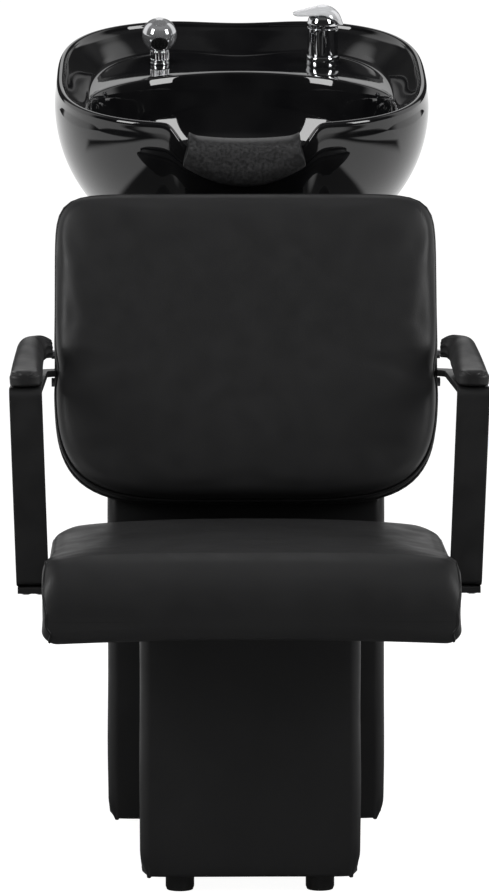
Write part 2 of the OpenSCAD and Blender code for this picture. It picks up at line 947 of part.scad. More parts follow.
// Lowers the points of a section for the neck notch, fading to nothing at a given depth
function notched(points, drop, foot) = [for (p = points) [p[0], p[1], p[2] * (1 - drop / foot) - drop]];

// Closed radial section of the bowl: rim, wall, deck, basin, drain, underside, skirt and body
function bowl_profile(t) =
    let(
        lip = rim_lip(t),
        crease = dented(oval(t, bowl_half - 45, 28, bowl_back - 34, 2.8, 2.95), 28, 98),
        edge = oval(t, bowl_half - 49, 42, basin_rear, 2.6, 1.85),
        front = smooth(clamp01(-sin(t) * 3 + 0.1)),
        drop = sin(t) < 0 ? notch_drop(lip[0]) : 0,
        edge_w = deck_w - 20 * front,
        drain_r = sleeve_r + 1,
        hole = [drain_r * cos(t), wash_centre_v + drain_r * sin(t)],
        ceiling = edge_w - china_t - 10 * front,
        // Rim, wall, deck and basin down to the drain
        inner = [
            at(outward(lip, t, rim_t / 2), 0),
            at(outward(lip, t, 1.8), -1.4),
            at(lip, -5),
            at(mix(lip, crease, 0.45), -20),
            at(mix(lip, crease, 0.86), deck_w + 4),
            at(mix(crease, edge, 0.04), deck_w),
            at(outward(edge, t, 5), edge_w),
            at(edge, edge_w - 2.5),
            at(basin_point(edge, 0.983), edge_w - 9),
            at(basin_point(edge, 0.955), mix(edge_w, -basin_h, 0.3)),
            at(basin_point(edge, 0.89), mix(edge_w, -basin_h, 0.6)),
            at(basin_point(edge, 0.76), mix(edge_w, -basin_h, 0.84)),
            at(basin_point(edge, 0.55), mix(edge_w, -basin_h, 0.96)),
            at(mix(hole, basin_point(edge, 0.3), 0.75), -basin_h),
            at(hole, -basin_h)
        ],
        // Underside of the basin
        under = [
            at(hole, -floor_under),
            at(basin_point(edge, 0.42), -floor_under),
            at(outward(basin_point(edge, 0.6), t, 4), mix(edge_w, -floor_under, 0.95)),
            at(outward(basin_point(edge, 0.8), t, 8), mix(edge_w, -floor_under, 0.82)),
            at(outward(basin_point(edge, 0.91), t, 10), mix(edge_w, -floor_under, 0.6)),
            at(outward(basin_point(edge, 0.97), t, china_t), min(ceiling - 6, mix(edge_w, -floor_under, 0.3))),
            at(outward(edge, t, china_t), ceiling)
        ],
        // Inside of the skirt, base and outer body
        outer = [
            at(outward(body_point(t, ceiling), t, -rim_t), ceiling),
            at(outward(body_point(t, -110), t, -rim_t), -110),
            at(outward(body_point(t, -160), t, -rim_t - 2), -160),
            at(outward(body_point(t, base_w + flange_t + 6), t, -rim_t - 6), base_w + flange_t),
            at(outward(body_point(t, base_w), t, -flange_run), base_w + flange_t),
            at(outward(body_point(t, base_w), t, -flange_run), base_w),
            at(body_point(t, base_w), base_w),
            at(body_point(t, -195), -195),
            at(body_point(t, -165), -165),
            at(body_point(t, -130), -130),
            at(body_point(t, -90), -90),
            at(body_point(t, -55), -55),
            at(body_point(t, -25), -25),
            at(outward(lip, t, rim_t), -6),
            at(outward(lip, t, rim_t - 1.8), -1.4)
        ]
    )
    concat(notched(inner, drop, basin_h), notched(under, drop, floor_under), notched(outer, drop, bowl_h));

module bowl() {
    color(china)
        bowl_frame()
            difference() {
                skin([for (t = bowl_angles) bowl_profile(t)], closed = true);
                translate([mixer_x, mixer_v, deck_w - china_t - 20])
                    cylinder(d = 35, h = china_t + 40);
                translate([-spray_x, spray_v, deck_w - china_t - 20])
                    cylinder(r = holder_shank_r + 1, h = china_t + 40);
                cradle_bolt_places()
                    translate([0, 0, base_w - 1])
                        cylinder(d = 11, h = flange_t + 2);
            }
}

// Places of the four bolts between the base flange and the cradle
module cradle_bolt_places() {
    for (t = [38, 142, 218, 322]) {
        p = outward(body_point(t, base_w), t, -flange_run / 2 - 2);
        translate([p[0], p[1], 0])
            children();
    }
}

neck_half = neck_rest_w / 2 + 3.8;

// Section of the neck rest across the rim at a place along X
function neck_section(x) =
    let(
        s = x / neck_half,
        crown = -lookup(x, rim_line),
        inside = -lookup(1.04 * x, rim_line),
        top = -22 + 5 * s * s,
        low = -78 + 26 * s * s,
        front = 38 - 5 * s * s
    )
    [
        for (p = [
            [20, inside - 9],
            [19, min(inside - 2, top - 7)],
            [13, top - 5],
            [4, top],
            [-8, top],
            [-20, top - 5],
            [-31, mix(top, low, 0.35)],
            [-front, mix(top, low, 0.7)],
            [-front + 3, low + 3],
            [-front + 11, low],
            [-18, low + 4],
            [-13.2, mix(crown, low, 0.5)],
            [-12.4, crown - 7],
            [-9, crown + FREE],
            [3, crown + FREE],
            [8, inside - 2.5],
            [17, inside - 9]
        ])
            [x, p[0], p[1]]
    ];

// The neck rest has its sections where the rim has them
module neck_rest() {
    between = [for (i = [1 : len(rim_line)]) rim_line[len(rim_line) - i][0]];
    places = concat([neck_half], [for (x = between) if (abs(x) < neck_half - 3) x], [-neck_half]);
    color(rubber)
        bowl_frame()
            skin([for (x = places) neck_section(x)]);
}

// Rubber washers between the base and the cradle
module bowl_pads() {
    color(rubber)
        bowl_frame()
            cradle_bolt_places()
                translate([0, 0, base_w - pad_t])
                    difference() {
                        cylinder(d = 26, h = pad_t);
                        translate([0, 0, -1])
                            cylinder(d = 9, h = pad_t + 2);
                    }
}

module bowl_cradle() {
    centre = bowl_mid - 2;
    color(steel_black)
        bowl_frame()
            difference() {
                union() {
                    translate([0, centre, cradle_w])
                        linear_extrude(plate_t)
                            rounded_rect(220, 216, 30);
                    for (x = [-1, 1])
                        translate([x * (ear_x + plate_t / 2) - plate_t / 2, 0, 0])
                            rotate([90, 0, 90])
                                linear_extrude(plate_t)
                                    cradle_ear();
                }
                translate([0, centre - 6, cradle_w - 1])
                    linear_extrude(plate_t + 2)
                        rounded_rect(104, 150, 22);
                cradle_bolt_places()
                    translate([0, 0, cradle_w - 1])
                        cylinder(d = 9, h = plate_t + 2);
                translate([-ear_x - 20, pivot_v, pivot_w])
                    rotate([0, 90, 0])
                        cylinder(d = pivot_d + 2 * pivot_gap, h = 2 * ear_x + 40);
                lock_place()
                    translate([0, 0, ear_x - 20])
                        cylinder(d = lock_d + 2 * pivot_gap, h = 40);
            }
}

// Ear of the cradle in its own plane, round about the pivot and the lock stud
module cradle_ear() {
    stud = [pivot_v + lock_r * cos(lock_angle - bowl_tilt), pivot_w + lock_r * sin(lock_angle - bowl_tilt)];
    translate([pivot_v, pivot_w])
        circle(14);
    translate(stud)
        circle(11);
    polygon([
        [pivot_v - 14, cradle_w + plate_t],
        [pivot_v - 14, pivot_w],
        [pivot_v, pivot_w - 14],
        [stud[0], stud[1] - 11],
        [stud[0] + 11, stud[1]],
        [stud[0] + 11, cradle_w + plate_t]
    ]);
}

// Axis of the lock stud in the bowl frame, along X
module lock_place() {
    translate([0, pivot_v, pivot_w])
        rotate([lock_angle - bowl_tilt, 0, 0])
            translate([0, lock_r, 0])
                rotate([0, 90, 0])
                    children();
}

// Bolts through the cradle, the washers and the base flange, with their nuts inside the skirt
module cradle_bolts() {
    grip = plate_t + pad_t + flange_t;
    color(zinc)
        bowl_frame()
            cradle_bolt_places()
                translate([0, 0, cradle_w]) {
                    translate([0, 0, -5.5])
                        hexagon(13, 5.5);
                    cylinder(d = 8, h = grip + 12);
                    translate([0, 0, grip])
                        cylinder(d = 20, h = 1.6);
                    translate([0, 0, grip + 1.6])
                        hexagon(13, 6.5);
                }
}

module bowl_bracket() {
    ear_start = ear_x + plate_t + ear_gap;
    color(steel_black)
        difference() {
            union() {
                translate([0, pivot_y + 6, rear_box_top])
                    linear_extrude(plate_t)
                        rounded_rect(236, 170, 12);
                for (x = [-1, 1])
                    translate([x * (ear_start + plate_t / 2) - plate_t / 2, pivot_y, 0])
                        rotate([90, 0, 90])
                            linear_extrude(plate_t)
                                difference() {
                                    bracket_ear();
                                    if (x > 0)
                                        lock_slot();
                                }
            }
            translate([0, pivot_y + 6, rear_box_top - 1])
                linear_extrude(plate_t + 2)
                    rounded_rect(116, 116, 20);
            translate([-ear_start - 20, pivot_y, pivot_z])
                rotate([0, 90, 0])
                    cylinder(d = pivot_d + 2 * pivot_gap, h = 2 * ear_start + 40);
            bracket_screw_places()
                translate([0, 0, -1])
                    cylinder(d = 5.2, h = plate_t + 2);
        }
}

// Ear of the bracket, measured from the pivot along Y and from the floor along Z
module bracket_ear() {
    reach = lock_r + lock_d / 2 + 8;
    polygon([
        [-20, rear_box_top],
        [reach, rear_box_top],
        [reach, pivot_z + 13],
        [reach - 11, pivot_z + 24],
        [-8, pivot_z + 24],
        [-20, pivot_z + 12]
    ]);
}

// Slot of the lock stud about the pivot, a little longer than the tilt
module lock_slot() {
    low = lock_angle - tilt_up - 2;
    high = lock_angle + tilt_down + 2;
    half = lock_d / 2 + 0.5;
    translate([0, pivot_z])
        polygon(concat(
            [for (i = [0 : 8]) (lock_r + half) * ray(mix(low, high, i / 8))],
            [for (i = [1 : 7]) lock_r * ray(high) + half * ray(high + 180 * i / 8)],
            [for (i = [0 : 8]) (lock_r - half) * ray(mix(high, low, i / 8))],
            [for (i = [1 : 7]) lock_r * ray(low) + half * ray(low + 180 + 180 * i / 8)]
        ));
}

module bracket_screw_places() {
    for (x = [-1, 1], y = [-1, 1])
        translate([x * 104, pivot_y + 6 + y * 70, rear_box_top])
            children();
}

module bracket_screws() {
    color(zinc)
        bracket_screw_places() {
            translate([0, 0, plate_t])
                cylinder(d1 = 10, d2 = 7, h = 3);
            translate([0, 0, -board_t - cover_t + 2])
                cylinder(d = 5, h = board_t + cover_t + plate_t - 2);
        }
}

// Pins through both pairs of ears, headed outside and clipped inside
module pivot_pins() {
    outer = ear_x + plate_t + ear_gap + plate_t;
    inner = ear_x - FREE - 4;
    color(zinc)
        for (x = [-1, 1])
            translate([0, pivot_y, pivot_z])
                rotate([0, x * 90, 0]) {
                    translate([0, 0, inner - 2])
                        cylinder(d = pivot_d, h = outer - inner + 2);
                    translate([0, 0, inner])
                        cylinder(d = pivot_d + 8, h = 4);
                    translate([0, 0, outer])
                        hexagon(17, 6);
                }
}

module tilt_knob() {
    start = ear_x + 2 * plate_t + ear_gap + FREE;
    knob_t = 20;
    lobes = 6;
    color(rubber)
        bowl_frame()
            lock_place() {
                translate([0, 0, start])
                    cylinder(d = knob_d * 0.55, h = 6);
                translate([0, 0, start + 5])
                    difference() {
                        cylinder(d = knob_d, h = knob_t - 5);
                        for (i = [0 : lobes - 1])
                            rotate([0, 0, i * 360 / lobes])
                                translate([knob_d / 2 + 3, 0, -1])
                                    cylinder(d = 14, h = knob_t);
                    }
                translate([0, 0, ear_x - 6])
                    cylinder(d = lock_d, h = start - ear_x + 8);
            }
}

// Drain

module drain_place() bowl_frame() translate([0, wash_centre_v, 0]) children();

module drain_flange() {
    flange_h = 3;
    seat_r = tail_r + 4.5;
    bottom = floor_under + 34;
    color(chrome)
        drain_place()
            difference() {
                union() {
                    translate([0, 0, -basin_h])
                        cylinder(d1 = drain_flange_d, d2 = drain_flange_d - 4, h = flange_h);
                    translate([0, 0, -bottom])
                        cylinder(r = sleeve_r, h = bottom - basin_h + 1);
                }
                translate([0, 0, -bottom - 1])
                    cylinder(r = sleeve_r - tail_wall, h = bottom - basin_h + flange_h + 5);
                translate([0, 0, -basin_h + flange_h - 1.6])
                    cylinder(r = seat_r, h = 4);
            }
}

// Lift-out strainer with a ring of holes, a knob and a short basket wall
module drain_strainer() {
    disc_r = tail_r + 4;
    basket_r = sleeve_r - tail_wall - 0.5;
    z0 = -basin_h + 1.4;
    color(chrome)
        drain_place()
            difference() {
                union() {
                    translate([0, 0, z0 + 0.1])
                        cylinder(r = disc_r, h = 1.6);
                    translate([0, 0, z0 - 12])
                        cylinder(r = basket_r, h = 13);
                    translate([0, 0, z0 + 1])
                        cylinder(r = 3, h = 7);
                    translate([0, 0, z0 + 7])
                        sphere(r = 4.5);
                }
                translate([0, 0, z0 - 13])
                    cylinder(r = basket_r - 1.2, h = 12.5);
                for (ring = [[8, 6], [13.5, 10]], i = [0 : ring[1] - 1])
                    rotate([0, 0, i * 360 / ring[1]])
                        translate([ring[0], 0, z0 - 3])
                            cylinder(d = 3.6, h = 8, $fn = 24);
            }
}

module drain_gasket() {
    color(rubber)
        drain_place()
            translate([0, 0, -floor_under - 4])
                difference() {
                    cylinder(r = sleeve_r + 12, h = 4);
                    translate([0, 0, -1])
                        cylinder(r = sleeve_r + 0.1, h = 6);
                }
}

module drain_nut() {
    color(zinc)
        drain_place()
            translate([0, 0, -floor_under - 4 - 10])
                difference() {
                    union() {
                        translate([0, 0, 7])
                            cylinder(r = sleeve_r + 11, h = 3);
                        hexagon(2 * sleeve_r + 14, 8);
                    }
                    translate([0, 0, -1])
                        cylinder(r = sleeve_r, h = 12);
                }
}

module drain_tailpiece() {
    top = floor_under + 18;
    color(chrome)
        drain_place()
            difference() {
                union() {
                    translate([0, 0, -tail_end])
                        cylinder(r = tail_r, h = tail_end - floor_under - 34 + 1);
                    translate([0, 0, -floor_under - 46])
                        cylinder(r = sleeve_r + 5, h = 24);
                }
                translate([0, 0, -tail_end - 1])
                    cylinder(r = tail_r - tail_wall, h = tail_end - top + 10);
                translate([0, 0, -floor_under - 34])
                    cylinder(r = sleeve_r, h = 30);
            }
}

// Mixer

module mixer_place() bowl_frame() translate([mixer_x, mixer_v, deck_w + SNUG]) children();

mixer_r = mixer_d / 2;
shank_r = 16.5;
cartridge_r = mixer_r - 4;
stem_r = 7;
dome_r = mixer_r;
dome_h = mixer_h + 4;
lug_t = 7;
tail_gap = 9;
inlet_d = 10;
lift_gap = 0.7;
lever_pin_r = 2;

module mixer_base_ring() {
    color(chrome)
        mixer_place()
            rotate_extrude()
                polygon([
                    [mixer_r, 0],
                    [mixer_r + 2.7, 0],
                    [mixer_r + 2.7, mixer_ring_h - 5],
                    [mixer_r + 1.6, mixer_ring_h - 1],
                    [mixer_r, mixer_ring_h]
                ]);
}

module mixer_body() {
    color(chrome)
        mixer_place()
            difference() {
                union() {
                    cylinder(r = mixer_r, h = mixer_h - 1);
                    translate([0, 0, mixer_h - 1])
                        cylinder(r1 = mixer_r, r2 = mixer_r - 0.8, h = 1);
                    translate([0, 0, -china_t - 45])
                        cylinder(r = shank_r, h = china_t + 46);
                }
                translate([0, 0, mixer_h - 28])
                    cylinder(r = cartridge_r, h = 30);
                for (x = [-1, 1])
                    translate([x * tail_gap, 0, -china_t - 46])
                        cylinder(d = inlet_d + 0.2, h = china_t + 46 + mixer_h - 27);
            }
}

module mixer_cartridge() {
    color([0.85, 0.85, 0.82])
        mixer_place()
            translate([0, 0, mixer_h - 28])
                difference() {
                    cylinder(r = cartridge_r, h = 27.5);
                    translate([0, 0, 10])
                        cylinder(r = stem_r + pivot_gap, h = 30);
                }
}

// Domed turning cap, slotted for the lever lug, with the stem that sits in the cartridge
module mixer_cap() {
    color(chrome)
        mixer_place()
            difference() {
                union() {
                    translate([0, 0, dome_h])
                        intersection() {
                            sphere(r = dome_r);
                            cylinder(r = dome_r + 1, h = dome_r + 1);
                        }
                    translate([0, 0, mixer_h + FREE])
                        cylinder(r = dome_r, h = dome_h - mixer_h - FREE);
                    translate([0, 0, mixer_h - 16])
                        cylinder(r = stem_r, h = 20);
                }
                translate([-8, -lug_t / 2 - 0.5, dome_h - 6])
                    cube([28, lug_t + 1, dome_r + 8]);
                translate([0, -dome_r + 3, dome_h])
                    rotate([-90, 0, 0])
                        cylinder(r = lever_pin_r, h = 2 * dome_r - 6);
            }
}

module lever_pin() {
    color(zinc)
        mixer_place()
            translate([0, -dome_r + 3.5, dome_h])
                rotate([-90, 0, 0])
                    cylinder(r = lever_pin_r, h = 2 * dome_r - 7);
}

// Middle line of the lever leaf in its upright plane: over the cap and out to the tip
function leaf_point(s) =
    let(
        a = mix(-4, 112, min(s, 1)),
        r = dome_r + lift_gap + lever_t / 2 + 2.2 * smooth((12 - a) / 16),
        end = [r * cos(112), r * sin(112)],
        out = max(0, s - 1)
    )
    s <= 1 ? [r * cos(a), r * sin(a)] : end + out * [-32, -6 - 2 * out + 3 * out * out];
function leaf_dir(s) = let(d = leaf_point(s + 0.01) - leaf_point(s - 0.01)) d / norm(d);
function leaf_half(s) = s < 0.6 ? mix(10, 17.5, smooth(s / 0.6)) : mix(17.5, 8, smooth((s - 0.6) / 1.3));
function leaf_round(s) =
    s > 1.8 ? sqrt(1 - pow((s - 1.8) / 0.21, 2)) : s < 0.12 ? sqrt(1 - pow((0.12 - s) / 0.125, 2)) : 1;
function leaf_section(s) =
    let(
        p = leaf_point(s),
        d = leaf_dir(s),
        n = [d[1], -d[0]],
        round = leaf_round(s),
        half = leaf_half(s) * round,
        thick = lever_t / 2 * (0.4 + 0.6 * round)
    )
    [
        for (i = [0 : 13])
            let(a = i * 360 / 14, q = p + n * thick * full(sin(a), 0.7))
            [q[0], half * full(cos(a), 0.7), dome_h + q[1]]
    ];

module mixer_lever() {
    stations = [0.01, 0.06, 0.12, 0.24, 0.36, 0.48, 0.6, 0.72, 0.84, 0.96, 1.1, 1.25, 1.4, 1.6, 1.8, 1.92, 2];
    color(chrome)
        mixer_place()
            difference() {
                union() {
                    skin([for (s = stations) leaf_section(s)], fan = true);
                    translate([-4.5, -lug_t / 2, dome_h])
                        cube([9, lug_t, dome_r + lift_gap + lever_t / 2]);
                    translate([0, lug_t / 2, dome_h])
                        rotate([90, 0, 0])
                            cylinder(r = 4.5, h = lug_t);
                }
                translate([0, -lug_t, dome_h])
                    rotate([-90, 0, 0])
                        cylinder(r = lever_pin_r + pivot_gap, h = 2 * lug_t);
            }
}

module mixer_gasket() {
    color(rubber)
        mixer_place()
            translate([0, 0, -china_t - 3])
                difference() {
                    cylinder(r = shank_r + 7, h = 3 - 0.2);
                    translate([0, 0, -1])
                        cylinder(r = shank_r + 0.1, h = 6);
                }
}

module mixer_nut() {
    color(brass)
        mixer_place()
            translate([0, 0, -china_t - 3 - 9])
                difference() {
                    union() {
                        hexagon(2 * shank_r + 8, 8);
                        translate([0, 0, 7])
                            cylinder(r = shank_r + 6, h = 2);
                    }
                    translate([0, 0, -1])
                        cylinder(r = shank_r, h = 12);
                }
}

module mixer_inlets() {
    color(brass)
        mixer_place()
            for (x = [-1, 1])
                translate([x * tail_gap, 0, -china_t - 78])
                    difference() {
                        cylinder(d = inlet_d, h = 60);
                        translate([0, 0, -1])
                            cylinder(d = inlet_d - 2.4, h = 62);
                    }
}

// Spray

module spray_place() bowl_frame() translate([-spray_x, spray_v, deck_w + SNUG]) children();

collar_r = collar_d / 2;
bore_r = 5;
spigot_r = 5.6;
holder_shank_r = 8;

module spray_holder() {
    color(chrome)
        spray_place()
            difference() {
                union() {
                    cylinder(r1 = collar_r + 0.5, r2 = collar_r, h = 3);
                    translate([0, 0, 3])
                        cylinder(r = collar_r - 1, h = holder_h - 3);
                    translate([0, 0, -china_t - 24])
                        cylinder(r = holder_shank_r, h = china_t + 25);
                }
                translate([0, 0, -china_t - 25])
                    cylinder(r = spigot_r + FREE, h = china_t + holder_h + 30);
            }
}

module spray_nut() {
    color(brass)
        spray_place()
            translate([0, 0, -china_t - 9])
                difference() {
                    hexagon(2 * holder_shank_r + 4, 9 - 0.2);
                    translate([0, 0, -1])
                        cylinder(r = holder_shank_r, h = 12);
                }
}

// Ribbed collar with the spigot that drops into the holder
module spray_collar() {
    ribs = 18;
    color(chrome)
        spray_place()
            translate([0, 0, holder_h + FREE])
                difference() {
                    union() {
                        cylinder(r = collar_r - 1.2, h = collar_h);
                        for (i = [0 : ribs - 1])
                            rotate([0, 0, i * 360 / ribs])
                                translate([collar_r - 1.2, 0, 1])
                                    cylinder(r = 1.2, h = collar_h - 3, $fn = 16);
                        translate([0, 0, -14])
                            cylinder(r = spigot_r, h = 15);
                    }
                    translate([0, 0, -15])
                        cylinder(r = bore_r - 1, h = collar_h + 20);
                }
}

head_pitch = 117;
head_h = holder_h + FREE + collar_h;
head_r = spray_d / 2;
head_centre = 20.5;
face_r = 10.9;
face_cut = head_r - 3.7;
face_t = 7;

// Frame of the spray face about the middle of the head, facing the seat and a little down
module face_place() {
    translate([0, 0, head_centre])
        rotate([head_pitch, 0, 0])
            children();
}

// Round head above the collar with a flat mouth towards the seat
module spray_head() {
    color(chrome)
        spray_place()
            translate([0, 0, head_h])
                difference() {
                    translate([0, 0, head_centre])
                        sphere(r = head_r);
                    translate([0, 0, -12])
                        cylinder(r = 40, h = 12);
                    face_place()
                        translate([0, 0, face_cut])
                            cylinder(r = 40, h = 30);
                    face_place()
                        translate([0, 0, face_cut - face_t - 5])
                            cylinder(r = face_r, h = 30);
                    translate([0, 0, -1])
                        cylinder(r = bore_r - 1, h = 20);
                }
}

module spray_face() {
    rings = [[3.6, 6], [7.6, 12]];
    color(rubber)
        spray_place()
            translate([0, 0, head_h])
                face_place()
                    difference() {
                        union() {
                            translate([0, 0, face_cut - face_t])
                                cylinder(r = face_r, h = face_t);
                            translate([0, 0, face_cut])
                                cylinder(r1 = face_r - 1, r2 = face_r - 3, h = 1.2);
                        }
                        for (ring = rings, i = [0 : ring[1] - 1])
                            rotate([0, 0, i * 360 / ring[1]])
                                translate([ring[0], 0, face_cut - 1])
                                    cylinder(d = 1.6, h = 4, $fn = 16);
                    }
}

module spray_hose_nut() {
    color(chrome)
        spray_place()
            translate([0, 0, holder_h + FREE - 14])
                difference() {
                    translate([0, 0, -16])
                        cylinder(r1 = spigot_r - 1, r2 = spigot_r, h = 16);
                    translate([0, 0, -17])
                        cylinder(r = 3, h = 18);
                }
}

placed() front_box_carcass();
placed() front_box_cover();
placed() rear_box_sides();
placed() rear_box_front_boards();
placed() rear_box_top_board();
placed() rear_box_floor();
placed() rear_box_rails();
placed() rear_box_cover();
placed() box_bolts();
placed() feet();
placed() access_panel();
placed() panel_magnets();
placed() panel_ledge();
placed() seat_board();
placed() seat_cushion();
placed() cross_bar();
placed() seat_spacer();
placed() seat_bolts();
placed() left_arm_bar();
placed() right_arm_bar();
placed() left_arm_pad();
placed() right_arm_pad();
placed() arm_pad_screws();
placed() arm_bolts();
placed() back_board();
placed() back_cushion();
placed() back_shell();
placed() back_spacers();
placed() back_bolts();
placed() bowl();
placed() neck_rest();
placed() bowl_pads();
placed() bowl_cradle();
placed() cradle_bolts();
placed() bowl_bracket();
placed() bracket_screws();
placed() pivot_pins();
placed() tilt_knob();
placed() drain_flange();
placed() drain_strainer();
placed() drain_gasket();
placed() drain_nut();
placed() drain_tailpiece();
placed() mixer_base_ring();
placed() mixer_body();
placed() mixer_cartridge();
placed() mixer_cap();
placed() mixer_lever();
placed() lever_pin();
placed() mixer_gasket();
placed() mixer_nut();
placed() mixer_inlets();
placed() spray_holder();
placed() spray_nut();
placed() spray_head();
placed() spray_face();
placed() spray_collar();
placed() spray_hose_nut();
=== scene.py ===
"""Salon wash unit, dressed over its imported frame. Metres; helper shapes are given in millimetres."""
import json
import math

import bmesh
import bpy
from mathutils import Matrix, Vector, noise


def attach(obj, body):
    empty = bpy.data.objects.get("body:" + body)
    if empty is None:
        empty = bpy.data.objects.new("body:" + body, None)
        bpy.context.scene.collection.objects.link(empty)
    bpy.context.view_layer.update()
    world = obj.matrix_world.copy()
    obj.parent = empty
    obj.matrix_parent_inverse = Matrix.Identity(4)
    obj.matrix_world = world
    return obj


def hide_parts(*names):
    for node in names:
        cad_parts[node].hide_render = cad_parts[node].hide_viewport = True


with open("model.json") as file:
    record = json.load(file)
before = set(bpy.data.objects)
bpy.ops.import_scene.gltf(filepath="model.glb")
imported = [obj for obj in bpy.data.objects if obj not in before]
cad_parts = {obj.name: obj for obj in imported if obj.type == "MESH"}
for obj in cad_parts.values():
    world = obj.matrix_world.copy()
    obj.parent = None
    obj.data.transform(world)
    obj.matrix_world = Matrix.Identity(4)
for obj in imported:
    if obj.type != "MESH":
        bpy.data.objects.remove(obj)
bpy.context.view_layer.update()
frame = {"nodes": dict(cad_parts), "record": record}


# Small sums

def clamp01(x):
    return max(0.0, min(1.0, x))


def smooth(x):
    c = clamp01(x)
    return c * c * (3 - 2 * c)


def mix(a, b, t):
    return a + (b - a) * t


def even(a, b, steps, first=1):
    """Evenly spaced values up to b, from a itself where first is 0."""
    return [mix(a, b, i / steps) for i in range(first, steps + 1)]


def full(x, power):
    return math.copysign(abs(x) ** power, x)


def bell(x, width):
    return math.exp(-(x / width) ** 2)


def arc(t):
    """Quarter circle, falling from 1 to 0."""
    return math.sqrt(max(0.0, 1 - t * t))


def cosd(angle):
    return math.cos(math.radians(angle))


def sind(angle):
    return math.sin(math.radians(angle))


def around(count, shift=0.0):
    """Angles of even steps around a full turn."""
    return [2 * math.pi * (i + shift) / count for i in range(count)]


def oval_radius(a, half, reach, n):
    """Radius towards an angle of an oval that gets squarer as n grows."""
    return (abs(math.cos(a) / half) ** n + abs(math.sin(a) / reach) ** n) ** (-1 / n)


def settle(thing, **settings):
    """Gives a thing its settings and hands it back."""
    for key, value in settings.items():
        setattr(thing, key, value)
    return thing


# Sizes and frames; each frame takes millimetres to the row frame in metres

MM = 0.001
SNUG = 0.05
FOOT_TOP = 25
SEAT_W, SEAT_D, SEAT_UNDER, SEAT_TOP = 500, 450, 365, 380
BACK_W, BACK_H, BACK_LEAN, BACK_FRONT, BACK_LOW = 482, 398, 17.6, 385, 448.6
ARM_TOP, ARM_FRONT, ARM_FOOT, ARM_OUT, ARM_LEAN, RUN_SLOPE = 614, 170, 200, 15, 1.6, 2.4
BAR_W, BAR_T, BEND_IN = 40, 8, 4
BOWL_FRONT, BOWL_RIM_Z, BOWL_TILT, BOWL_BACK = 620, 907, 11, 574
# The rear of the bowl is fullest this far below its rim
FULLEST = 22
OVERALL_D = BOWL_FRONT + BOWL_BACK * cosd(BOWL_TILT) + FULLEST * sind(BOWL_TILT)
HALF_D = OVERALL_D / 2


def frame_at(x, y, z, angle=0, axis="X"):
    place = Matrix.Scale(MM, 4) @ Matrix.Translation((x, y - HALF_D, z))
    return place @ Matrix.Rotation(math.radians(angle), 4, axis)


ROW = frame_at(0, 0, 0)
BACK = frame_at(0, BACK_FRONT, BACK_LOW, -BACK_LEAN)
BOWL = frame_at(0, BOWL_FRONT, BOWL_RIM_Z, BOWL_TILT)
ARM_LIFT = BAR_W / 2 * sind(ARM_LEAN) + SNUG
ARM_RISE = ARM_TOP - SEAT_UNDER - ARM_LIFT
ARM = frame_at(SEAT_W / 2 + ARM_OUT, 0, SEAT_UNDER + ARM_LIFT, ARM_LEAN, "Y")
BEND_MID, BEND_OUT = BEND_IN + BAR_T / 2, BEND_IN + BAR_T
FOLD_Y, FOLD_Z = ARM_FRONT + BEND_OUT, ARM_RISE - BEND_OUT
RUN = (
    ARM @ Matrix.Translation((0, FOLD_Y, FOLD_Z)) @ Matrix.Rotation(math.radians(-RUN_SLOPE), 4, "X")
    @ Matrix.Translation((0, -BEND_OUT, BEND_OUT))
)


# Node materials

def feed(tree, node, inputs):
    """Fills inputs of a node, each with a plain value or with another node's output."""
    for key, value in inputs.items():
        if isinstance(value, bpy.types.NodeSocket):
            tree.links.new(value, node.inputs[key])
        else:
            node.inputs[key].default_value = value
    return node


def add_node(tree, kind, inputs, **settings):
    return feed(tree, settle(tree.nodes.new(kind), **settings), inputs)


def place_of(tree, space="Object"):
    return add_node(tree, "ShaderNodeTexCoord", {}).outputs[space]


def noise_of(tree, scale, detail=3.0, rough=0.5, stretch=None):
    where = place_of(tree)
    if stretch:
        where = add_node(tree, "ShaderNodeMapping", {"Vector": where, "Scale": stretch}).outputs["Vector"]
    inputs = {"Vector": where, "Scale": scale, "Detail": detail, "Roughness": rough}
    return add_node(tree, "ShaderNodeTexNoise", inputs).outputs["Fac"]


def two_tones(tree, source, low, high, start=0.35, end=0.65):
    ramp = add_node(tree, "ShaderNodeValToRGB", {"Fac": source})
    for stop, position, colour in zip(ramp.color_ramp.elements, (start, end), (low, high)):
        settle(stop, position=position, color=(*colour, 1))
    return ramp.outputs["Color"]


def ranged(tree, source, low, high, start=0.3, end=0.7, curve="LINEAR"):
    """Takes a number that lies between start and end to one between low and high."""
    inputs = {"Value": source, "From Min": start, "From Max": end, "To Min": low, "To Max": high}
    return add_node(tree, "ShaderNodeMapRange", inputs, interpolation_type=curve).outputs["Result"]


def bumped(tree, height, strength, distance, **before):
    inputs = {"Height": height, "Strength": strength, "Distance": distance, **before}
    return add_node(tree, "ShaderNodeBump", inputs).outputs["Normal"]


def vinyl(tree, rough, low, high, grain, creases, bloom=0.0):
    """Coated vinyl: fine cell grain, faint broad undulation, slight colour and gloss variation."""
    cells = add_node(
        tree, "ShaderNodeTexVoronoi", {"Vector": place_of(tree), "Scale": 900.0}, feature="SMOOTH_F1"
    )
    broad = bumped(tree, noise_of(tree, 22.0), creases, 0.0015)
    return {
        "Base Color": two_tones(tree, noise_of(tree, 9.0, 4.0), low, high, 0.3, 0.7),
        "Roughness": ranged(tree, noise_of(tree, 34.0), rough - 0.05, rough + 0.06),
        "Normal": bumped(tree, cells.outputs["Distance"], grain, 0.0004, Normal=broad),
        "Specular IOR Level": 0.42, "Sheen Weight": bloom, "Sheen Roughness": 0.4
    }


